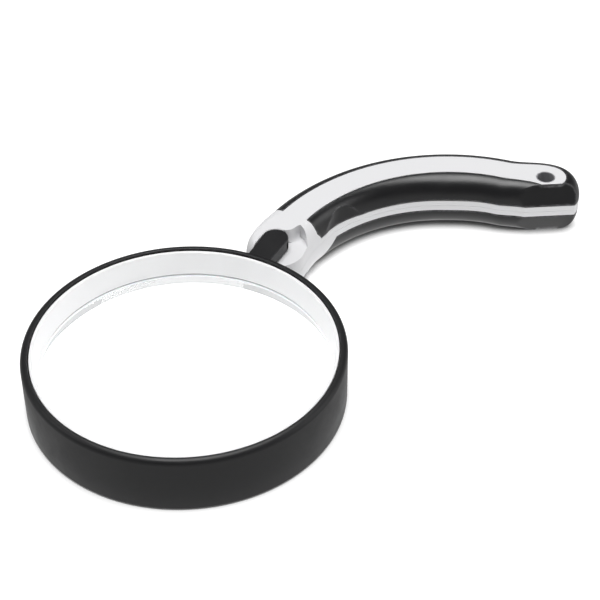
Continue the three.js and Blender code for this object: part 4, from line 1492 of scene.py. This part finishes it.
@dataclass
class LensAndLiners:
    """The clear lens between the two white liners, on its gasket."""

    shop: Workshop
    palette: Palette
    bore: float = 48.6
    gap: float = 0.3
    wall: float = 1.7
    draft: float = 0.9
    lip: float = 1.0
    frame_height: float = 20.0
    top_drop: float = 0.7
    frame_lip: float = 1.4
    lens_drop: float = 9.0
    lens_edge: float = 2.5
    lens_land: float = 0.9
    lens_play: float = 0.06
    curve: float = 245.0
    gasket: float = 0.5
    seat: float = 0.05
    foot_break: float = 0.1
    liner_round: float = 0.18
    liner_crease: float = 30.0
    lens_round: float = 0.12
    lens_crease: float = 25.0

    def build(self) -> None:
        """Build and dress the lens, both liners and the gasket."""
        outer = self.bore - self.gap
        top = self.frame_height - self.lens_drop
        low = top - self.lens_edge
        foot = outer - self.wall - self.gap
        rim = self.frame_height - self.top_drop
        soft = self.liner_round
        upper = [
            (foot, top + self.seat), (outer, top + self.seat), (outer, rim - soft),
            *arc((outer - soft, rim - soft), soft, 0, 90, 5),
            *arc((foot + self.draft + soft, rim - soft), soft, 90, 174, 5),
        ]
        seat = low - self.gasket - 2 * self.seat
        lip, base = outer - self.lip, self.frame_lip + self.seat
        under = [
            *arc((foot + self.draft / 2 + soft, base + soft), soft, 186, 270, 5), (outer, base),
            (outer, top), (lip, top), (lip, seat), (foot + self.foot_break, seat),
            (foot, seat - self.foot_break),
        ]
        self.ring("upper_liner_ring", upper, Sides.FRAME, self.liner_crease, "liner_white", "upper_liner")
        self.ring("lower_liner_ring", under, Sides.FRAME, self.liner_crease, "liner_white", "lower_liner")
        self.lens(low, top, lip - self.lens_play)
        edge, high = lip - self.gap, low - self.seat
        inner = edge - self.lens_land + self.seat
        gasket = [(inner, high - self.gasket), (edge, high - self.gasket), (edge, high), (inner, high)]
        self.ring("lens_gasket_ring", gasket, Sides.GASKET, CREASE, "gasket_silicone", "lens_gasket")

    def ring(self, name: str, profile: Sequence[Flat], sides: Sides, crease: float, slot: str,
             node: str) -> None:
        """Turn a profile about the lens axis and fit it.

        Args:
            name: Name of the piece.
            profile: Points of (radius, height).
            sides: Number of flat sides round the axis.
            crease: Edges sharper than this many degrees stay sharp.
            slot: The record's material slot.
            node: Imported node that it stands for.
        """
        fit(self.shop.lathe(name, profile, sides=sides), Body.FRAME, self.palette, slot, node, crease)

    def lens(self, low: float, top: float, radius: float) -> None:
        """Build the lens with its two spherical faces and its land.

        Args:
            low: Height of the lower land.
            top: Height of the upper land.
            radius: Edge radius of the lens.
        """
        face, soft = radius - self.lens_land, self.lens_round
        edge = math.sqrt(self.curve ** 2 - face ** 2)
        rise = [(r, math.sqrt(self.curve ** 2 - r * r) - edge) for r in span(0, face, 40)]
        profile = [*((r, low - h) for r, h in rise), (radius - soft, low), (radius, low + soft),
                   (radius, top - soft), (radius - soft, top), *((r, top + h) for r, h in reversed(rise))]
        self.ring("lens_blank", profile, Sides.FRAME, self.lens_crease, "lens_acrylic", "lens")


# ---------------------------------------------------------------- hinge


@dataclass
class Hinge:
    """The turned parts on the hinge axis and the click ball with its spring."""

    shop: Workshop
    palette: Palette
    place: Flat = (61.4, 0.0)
    frame_height: float = 20.0
    ear: float = 4.5
    screw_radius: float = 1.5
    head_radius: float = 2.6
    head_sink: float = 0.5
    head_height: float = 1.55
    slot_width: float = 0.9
    slot_depth: float = 0.7
    insert_wall: float = 0.9
    insert_cover: float = 1.2
    turn_gap: float = 0.1
    bush_wall: float = 1.0
    washer_reach: float = 0.8
    face_gap: float = 0.5
    seat: float = 0.05
    wave_height: float = 0.12
    waves: int = 3
    ball_radius: float = 0.75
    ball_bearing: float = 65.0
    ball_gap: float = 0.05
    ear_head: float = 4.3
    spring_wire: float = 0.22
    spring_turns: float = 3.0
    spring_pitch: float = 0.6
    head_round: float = 0.3
    screw_tip: float = 0.4
    slot_taper: float = 0.04
    ring_break: float = 0.08
    knurls: int = 28
    knurl_steps: int = 4
    knurl_depth: float = 0.12
    wave_steps: int = 96

    def build(self) -> None:
        """Build and dress every part of the hinge."""
        self.screw()
        high = self.frame_height - self.ear
        top = self.frame_height - self.insert_cover - self.turn_gap
        inner = self.screw_radius + self.turn_gap
        bush = inner + self.bush_wall
        near, far = bush + self.turn_gap, bush + self.washer_reach
        base = self.ear + self.seat
        self.ring("insert_sleeve", (inner, self.screw_radius + self.insert_wall), (high + self.turn_gap, top),
                  "insert_brass", "threaded_insert", True)
        self.ring("hinge_bush_tube", (inner, bush), (base, high - self.seat), "hinge_steel", "hinge_bush")
        self.ring("thrust_washer_ring", (near, far), (base, self.ear + self.face_gap - self.seat),
                  "washer_nylon", "thrust_washer")
        self.wave(near, far, high - self.face_gap + self.seat)
        self.click()

    def screw(self) -> None:
        """Build the slotted hinge screw, whose head faces down."""
        low, head, slim, soft = self.head_sink, self.head_radius, self.screw_radius, self.head_round
        ledge = low + self.head_height
        end = self.frame_height - self.insert_cover - self.turn_gap
        profile = [(0, low), *arc((head - soft, low + soft), soft, 270, 360, 6), (head, ledge),
                   (slim, ledge), (slim, end - self.screw_tip), (slim - self.screw_tip, end), (0, end)]
        piece = self.shop.lathe("hinge_screw_body", profile, self.place, Sides.HINGE)
        reach, half = head + PAST, self.slot_width / 2
        slot = self.shop.block("slot", (self.place[0] - reach, -half, low - PAST),
                               (self.place[0] + reach, half, low + self.slot_depth), self.slot_taper)
        self.shop.combine(piece, slot)
        fit(piece, Body.FRAME, self.palette, "hinge_steel", "hinge_screw")

    def ring(self, name: str, radii: Flat, heights: Flat, slot: str, node: str,
             knurled: bool = False) -> None:
        """Build a tube with broken edges.

        Args:
            name: Name of the piece.
            radii: Bore and outer radius.
            heights: Lower and upper end.
            slot: The record's material slot.
            node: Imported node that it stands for.
            knurled: Whether the outside has knurls.
        """
        (inner, outer), (low, high) = radii, heights
        soft = min(self.ring_break, (high - low) / 5)
        profile = [(inner, low + soft), (inner + soft, low), (outer - soft, low), (outer, low + soft),
                   (outer, high - soft), (outer - soft, high), (inner + soft, high), (inner, high - soft)]

        def knurl(i: int, radius: float, z: float) -> Flat:
            """Cut the outer points in between the knurls."""
            cut = self.knurl_depth * (0.5 - 0.5 * math.cos(2 * math.pi * i / self.knurl_steps))
            return radius - (cut if radius > outer - 2 * soft else 0), z

        sides = self.knurls * self.knurl_steps if knurled else Sides.HINGE
        piece = self.shop.lathe(name, profile, self.place, sides, alter=knurl if knurled else None)
        fit(piece, Body.FRAME, self.palette, slot, node)

    def wave(self, inner: float, outer: float, low: float) -> None:
        """Build the wavy washer, whose height follows a sine round the hinge."""
        high = low + self.face_gap - self.wave_height - 2 * self.seat

        def lift(i: int, radius: float, z: float) -> Flat:
            """Raise the points of a side by the wave."""
            turn = self.waves * 2 * math.pi * i / self.wave_steps
            return radius, z + self.wave_height * (1 + math.sin(turn)) / 2

        profile = [(inner, low), (outer, low), (outer, high), (inner, high)]
        piece = self.shop.lathe("wave_washer_ring", profile, self.place, self.wave_steps, alter=lift)
        fit(piece, Body.FRAME, self.palette, "spring_steel", "wave_washer")

    def click(self) -> None:
        """Build the click ball and the spring that presses it towards the ear's rim."""
        z = self.frame_height - self.ear / 2
        offset = self.ear_head + self.ball_gap + self.ball_radius
        place = moved(self.place, self.ball_bearing, offset)
        profile = arc((0, z), self.ball_radius, -90, 90, 24)
        piece = self.shop.lathe("detent_ball_sphere", profile, place, Sides.SCREW)
        fit(piece, Body.HANDLE, self.palette, "ball_steel", "detent_ball")
        start = moved(self.place, self.ball_bearing, offset + self.ball_radius + self.seat)
        spring = self.shop.helix("detent_spring_coil", self.ball_radius - self.spring_wire, self.spring_wire,
                                 self.spring_turns, self.spring_pitch, (*start, z),
                                 bearing(self.ball_bearing))
        fit(spring, Body.HANDLE, self.palette, "spring_steel", "detent_spring")


# ---------------------------------------------------------------- fold lock


@dataclass
class FoldLock:
    """The release button, its room in the upper shell and the notches in the ear."""

    shop: Workshop
    palette: Palette
    plan: HandlePlan = field(default_factory=HandlePlan)
    width: float = 5.4
    height: float = 4.4
    top_drop: float = 1.2
    along: float = 9.0
    depth: float = 3.7
    proud: float = 0.04
    gap: float = 0.12
    travel: float = 1.0
    ribs: int = 4
    rib_rise: float = 0.16
    stem_width: float = 1.3
    stem_aside: float = 1.9
    pawl_drop: float = 1.6
    pawl_height: float = 2.2
    pawl_gap: float = 0.3
    pin_along: float = 8.4
    pin_aside: float = 1.0
    pin_radius: float = 0.8
    pin_rise: float = 0.9
    hub_radius: float = 1.8
    nose_bearing: float = 20.0
    nose_width: float = 1.4
    notch_depth: float = 1.1
    pocket_gap: float = 0.12
    pocket_sides: int = 32
    pocket_mouth: float = 0.2
    room_play: float = 0.25
    pin_play: float = 0.1
    ear_head: float = 4.3
    nose_play: float = 0.1
    swing: float = -23.0
    notch_reach: float = 2.0
    edge_round: float = 0.35
    edge_depth: float = 0.7
    rib_edge: Flat = (0.25, 0.7)
    cap_steps: tuple[int, int] = (64, 32)
    cap_crease: float = 30.0
    search_share: float = 0.35
    halvings: int = 30

    @property
    def middle_x(self) -> float:
        """Return the button's middle along X."""
        return self.plan.hinge[0] + self.along

    @property
    def top(self) -> float:
        """Return the height of the button's upper edge."""
        return self.plan.height - self.top_drop

    @property
    def pawl_span(self) -> Flat:
        """Return the lower and upper height of the pawl."""
        high = self.plan.height - self.pawl_drop
        return high - self.pawl_height, high

    @property
    def face_y(self) -> float:
        """Return where the convex wall is beside the button."""
        share = self.plan.share_of(self.along)
        return moved(self.plan.centre, self.plan.angle(share), self.plan.outer_radius(share))[1]

    @property
    def back_y(self) -> float:
        """Return the button's back."""
        return self.face_y - self.depth

    def surface(self, x: float, z: float, out: float) -> float:
        """Return the convex flank's Y at an X and height.

        Args:
            x: Plan X.
            z: Height.
            out: Distance proud of the flank.

        Returns:
            The Y of the flank, moved out by the given distance.
        """
        plan = self.plan
        rise = plan.height - plan.stripe_top + out
        turn = math.degrees(math.asin(clamp((z - plan.stripe_top) / rise)))

        def point(share: float) -> Point:
            """Return the flank's point at a share of the sweep."""
            station = plan.outer_station(share)
            return plan.at(station, plan.level(station, turn, -out)[0], z)

        return point(halved(0.0, self.search_share, lambda share: point(share)[0] < x, self.halvings))[1]

    def build(self) -> None:
        """Build the button and dress the lock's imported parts, which stay as they are."""
        self.button()
        for node, slot in (("button_spring", "spring_steel"), ("lock_pawl", "lock_steel"),
                           ("pawl_pin", "lock_steel")):
            dress(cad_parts[node], self.palette, slot)
            LOG.info("%s keeps its packed mesh", node)

    def button(self) -> None:
        """Build the button: a cap that follows the flank, ribbed for the thumb, with its stem."""
        half, soft = self.width / 2, self.edge_round
        rows, columns = self.cap_steps
        sections = []
        for i in range(rows + 1):
            z = lerp(self.top - self.height, self.top, i / rows)
            lift = self.rib_rise * (0.5 - 0.5 * math.cos(2 * math.pi * self.ribs * i / rows))
            edge_z = min(i, rows - i) / rows * self.height
            row: list[Point] = [(self.middle_x - half, self.back_y, z)]
            for x in span(-half, half, columns):
                edge = min(edge_z, half - abs(x))
                fall = soft - math.sqrt(max(soft ** 2 - max(soft - edge, 0) ** 2, 0))
                out = self.proud - self.rib_rise + lift * smooth(edge, *self.rib_edge)
                x += self.middle_x
                row.append((x, self.surface(x, z, out) - fall * self.edge_depth, z))
            row.append((self.middle_x + half, self.back_y, z))
            sections.append(row)
        piece = self.shop.skin("release_button_cap", sections)
        low, high = self.pawl_span
        stem = self.shop.block("stem", (self.stem_x - self.stem_width / 2, self.back_y - self.depth, low),
                               (self.stem_x + self.stem_width / 2, self.back_y + PAST, high))
        self.shop.combine(piece, stem, operation="UNION")
        self.shop.combine(piece, self.spring_pocket())
        fit(piece, Body.BUTTON, self.palette, "button_black", "release_button", self.cap_crease)

    def spring_pocket(self) -> Piece:
        """Build the bore in the button's back that the spring slips into as the button is pressed."""
        low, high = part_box("button_spring")
        x = ((low.x + high.x) / 2 - self.shop.origin[0]) / MM
        z = (low.z + high.z) / 2 / MM
        radius = (high.z - low.z) / 2 / MM + self.pocket_gap
        sections = [[(x + radius * math.cos(turn), y, z + radius * math.sin(turn))
                     for turn in (2 * math.pi * i / self.pocket_sides for i in range(self.pocket_sides))]
                    for y in (self.back_y - self.pocket_mouth, self.back_y + self.travel + self.pocket_gap)]
        return self.shop.skin("spring_pocket", sections)

    def rooms(self) -> list[Piece]:
        """Build the tools for the button, stem, pawl, pin and spring in the upper shell."""
        shop, gap, play, x = self.shop, self.gap, self.room_play, self.stem_x
        half, far = self.width / 2 + gap, self.plan.far
        low, high = self.pawl_span
        end = self.back_y - self.depth - self.travel - play
        wide = self.stem_width / 2 + play
        pin = (self.plan.hinge[0] + self.pin_along, -self.pin_aside)
        nose = moved(self.plan.hinge, self.nose_bearing, self.ear_head + self.nose_play)
        clear = (low - self.pawl_gap, high + self.pawl_gap)
        button = (self.middle_x - half, self.back_y - self.travel - play, self.top - self.height - gap)
        return [
            shop.block("button_room", button, (self.middle_x + half, far, self.top + gap)),
            shop.block("stem_room", (x - wide, end, clear[0]), (x + wide, self.back_y, clear[1])),
            shop.drum("hub_room", self.hub_radius + self.pawl_gap, clear, pin, Sides.SCREW),
            shop.drum("pin_room", self.pin_radius + self.pin_play,
                      (low - self.pin_rise, high + self.pin_rise), pin, Sides.PIN),
            *(self.arm_room(pin, tip, clear) for tip in (nose, (x, end + self.travel))),
        ]

    @property
    def nose_room(self) -> float:
        """Return half the width of the room that the nose needs."""
        return self.nose_width / 2 + self.pawl_gap

    @property
    def stem_x(self) -> float:
        """Return the stem's middle along X."""
        return self.middle_x + self.stem_aside

    def arm_room(self, pin: Flat, tip: Flat, heights: Flat) -> Piece:
        """Build the room that an arm sweeps as it swings about the pin."""
        half, arm = self.nose_room, (tip[0] - pin[0], tip[1] - pin[1])
        start, long = math.degrees(math.atan2(arm[1], arm[0])), math.hypot(*arm)
        spare = math.degrees(math.atan2(half, long))
        outline = [moved(pin, start + self.swing - 90, half),
                   *arc(pin, math.hypot(long, half), start + self.swing - spare, start + spare, 8),
                   moved(pin, start + 90, half)]
        return self.shop.prism("arm_room", [(z, outline) for z in heights])

    def notches(self, hinge: Flat) -> list[Piece]:
        """Build the tools for the two notches in the upper ear."""
        low, high = self.pawl_span
        half, tools = self.nose_room, []
        for angle in (self.nose_bearing, self.nose_bearing - self.plan.fold_angle):
            inner = moved(hinge, angle, self.ear_head - self.notch_depth)
            outer = moved(hinge, angle, self.ear_head + self.notch_reach)
            outline = [moved(end, angle + side, half)
                       for end, side in ((inner, -90), (outer, -90), (outer, 90), (inner, 90))]
            tools.append(self.shop.prism(
                "notch", [(low - self.pawl_gap, outline), (high + self.pawl_gap, outline)]))
        return tools


# ---------------------------------------------------------------- studio


@dataclass(frozen=True)
class SoftBox:
    """A rectangular lamp: its place in metres along, across and above the view, size and power."""

    name: str
    ahead: float
    aside: float
    height: float
    size: Flat
    power: float


@dataclass
class Studio:
    """Plain floor, soft lights and the camera at the photograph's view."""

    focal_pixels: float = 1623.0
    picture_pixels: float = 600.0
    sensor: float = 36.0
    clip: Flat = (0.01, 20.0)
    roll: float = -0.21
    eye: Point = (-368.74, -188.53, 355.2)
    look: Point = (0.6828, 0.3479, -0.6425)
    floor_half: float = 4.0
    floor_drop: float = 0.02
    floor_glow: float = 0.8
    room_light: float = 0.13
    mirror_glow: float = 1.2
    lens_glow: float = 3.0
    lens_shade: tuple[float, ...] = (0.55, 0.95, 0.25, 1.3)
    contact_reach: float = 8.0
    contact_shade: Flat = (0.28, 0.62)
    boxes: tuple[SoftBox, ...] = (
        SoftBox("overhead_box", 0.02, 0.0, 1.3, (0.9, 1.0), 16.5),
        SoftBox("left_box", 0.0, -1.3, 0.9, (0.8, 0.8), 2.2),
        SoftBox("right_box", 0.0, 1.3, 0.5, (0.8, 0.8), 3.2),
    )

    def build(self) -> None:
        """Build the floor, the lights, the world and the camera."""
        self.view()
        self.floor()
        self.lights()
        self.world()

    def hang(self, name: str, data: bpy.types.ID, place: Sequence[float], turn: Quaternion) -> Piece:
        """Place a lamp or a camera in metres with its turn, and return its object."""
        thing = bpy.data.objects.new(name, data)
        bpy.context.scene.collection.objects.link(thing)
        thing.location = place
        thing.rotation_mode = "QUATERNION"
        thing.rotation_quaternion = turn
        return thing

    def view(self) -> None:
        """Set the camera where the photograph was taken from."""
        data = bpy.data.cameras.new("photograph_view")
        data.sensor_width = self.sensor
        data.lens = self.sensor * self.focal_pixels / self.picture_pixels
        data.clip_start, data.clip_end = self.clip
        aim = Vector(self.look).normalized().to_track_quat("-Z", "Y")
        turn = aim @ Quaternion((0, 0, 1), math.radians(self.roll))
        place = [value * MM for value in self.eye]
        bpy.context.scene.camera = self.hang("photograph_view", data, place, turn)
        bpy.context.scene.view_settings.view_transform = "Standard"

    def floor(self) -> None:
        """Lay a plain white floor that keeps the shadow and can be looked through from below."""
        half, low = self.floor_half, -self.floor_drop * MM
        data = bpy.data.meshes.new("studio_floor")
        corners = [(-half, -half, low), (half, -half, low), (half, half, low), (-half, half, low)]
        data.from_pydata(corners, [], [(0, 1, 2, 3)])
        floor = bpy.data.objects.new("studio_floor", data)
        bpy.context.scene.collection.objects.link(floor)
        material = bpy.data.materials.new("studio_paper")
        material.use_nodes = True
        bench = Bench(material.node_tree)
        shader = bench.add("BsdfPrincipled", Base_Color=(0.5, 0.5, 0.5, 1.0), Roughness=0.9)
        shader.inputs["Specular IOR Level"].default_value = 0.0
        glow = bench.add("Emission", Color=(1.0, 1.0, 1.0, 1.0))
        bench.link(self.glow(bench), glow.inputs["Strength"])
        both = bench.add("AddShader")
        bench.link(shader.outputs[0], both.inputs[0])
        bench.link(glow.outputs[0], both.inputs[1])
        below = bench.mixed(bench.add("NewGeometry").outputs["Backfacing"], both.outputs[0],
                            bench.add("BsdfTransparent").outputs[0])
        bench.link(below, bench.add("OutputMaterial").inputs["Surface"])
        data.materials.append(material)

    def glow(self, bench: Bench) -> Socket:
        """Let the floor's own light depend on the ray, and fade where the glass stands on it.

        Args:
            bench: Bench of the floor's material.

        Returns:
            The strength of the light.
        """
        path = bench.add("LightPath")
        mirror = path.outputs["Is Glossy Ray"]
        near = bench.add("AmbientOcclusion", {"samples": 8}, Distance=self.contact_reach * MM).outputs["AO"]
        closed = bench.math("SUBTRACT", 1.0, near)
        # Painted reflection: for glossy rays the floor glows more where things close over it, so the handle's
        # lower flanks mirror a bright floor.
        mirrored = bench.math("MULTIPLY", mirror, bench.math("MULTIPLY", closed, self.mirror_glow))
        # Painted light and shade through the lens: light that crossed the lens finds the floor glowing at
        # lens_glow, and the floor seen through the lens darkens near the ring's walls.
        seen = bench.seen_through(path)
        lit = bench.math("MULTIPLY", bench.math("SUBTRACT", 1.0, seen), path.outputs["Is Transmission Ray"])
        through = bench.math("ADD", bench.math("MULTIPLY", seen, bench.ramp(near, *self.lens_shade)),
                             bench.math("MULTIPLY", lit, self.lens_glow))
        other = bench.math("SUBTRACT", 1.0, bench.math("MAXIMUM", mirror, bench.math("ADD", seen, lit)))
        # Painted contact shadow: the plain glow fades where things stand close over the floor.
        opened = bench.math("MULTIPLY", bench.ramp(near, *self.contact_shade), self.floor_glow)
        plain = bench.math("MULTIPLY", other, opened)
        return bench.math("ADD", plain, bench.math("ADD", mirrored, through))

    def lights(self) -> None:
        """Hang a large soft box overhead behind the glass, and a weaker one at each side."""
        ahead = Vector((*self.look[:2], 0)).normalized()
        aside = ahead.cross(Vector((0, 0, 1)))
        for box in self.boxes:
            data = bpy.data.lights.new(box.name, "AREA")
            data.shape = "RECTANGLE"
            (data.size, data.size_y), data.energy = box.size, box.power
            place = ahead * box.ahead + aside * box.aside + Vector((0, 0, box.height))
            if box.aside:
                turn = (-place).to_track_quat("-Z", "Y")
            else:
                turn = Quaternion((0, 0, 1), math.atan2(ahead.y, ahead.x) - math.pi / 2)
            self.hang(box.name, data, place, turn)

    def world(self) -> None:
        """Light the room evenly and weakly from all round."""
        world = bpy.data.worlds.new("studio_room")
        world.use_nodes = True
        bench = Bench(world.node_tree)
        shade = bench.add("Background", Color=(1.0, 1.0, 1.0, 1.0))
        path = bench.add("LightPath")
        seen = bench.math("MAXIMUM", path.outputs["Is Transmission Ray"], bench.seen_through(path))
        seen = bench.math("MAXIMUM", path.outputs["Is Camera Ray"], seen)
        bench.link(bench.ramp(seen, 0, 1, self.room_light, 1.0), shade.inputs["Strength"])
        bench.link(shade.outputs[0], bench.add("OutputWorld").inputs["Surface"])
        bpy.context.scene.world = world


def main() -> None:
    """Build the studio and every piece of the glass in order."""
    logging.basicConfig(level=logging.INFO, format="%(message)s")
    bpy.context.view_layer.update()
    Studio().build()
    palette = Palette()
    shop = Workshop()
    LensFrame(shop, palette).build()
    LensAndLiners(shop, palette).build()
    Hinge(shop, palette).build()
    Handle(shop, palette).build()
    FoldLock(shop, palette).build()


if __name__ == "__main__":
    main()
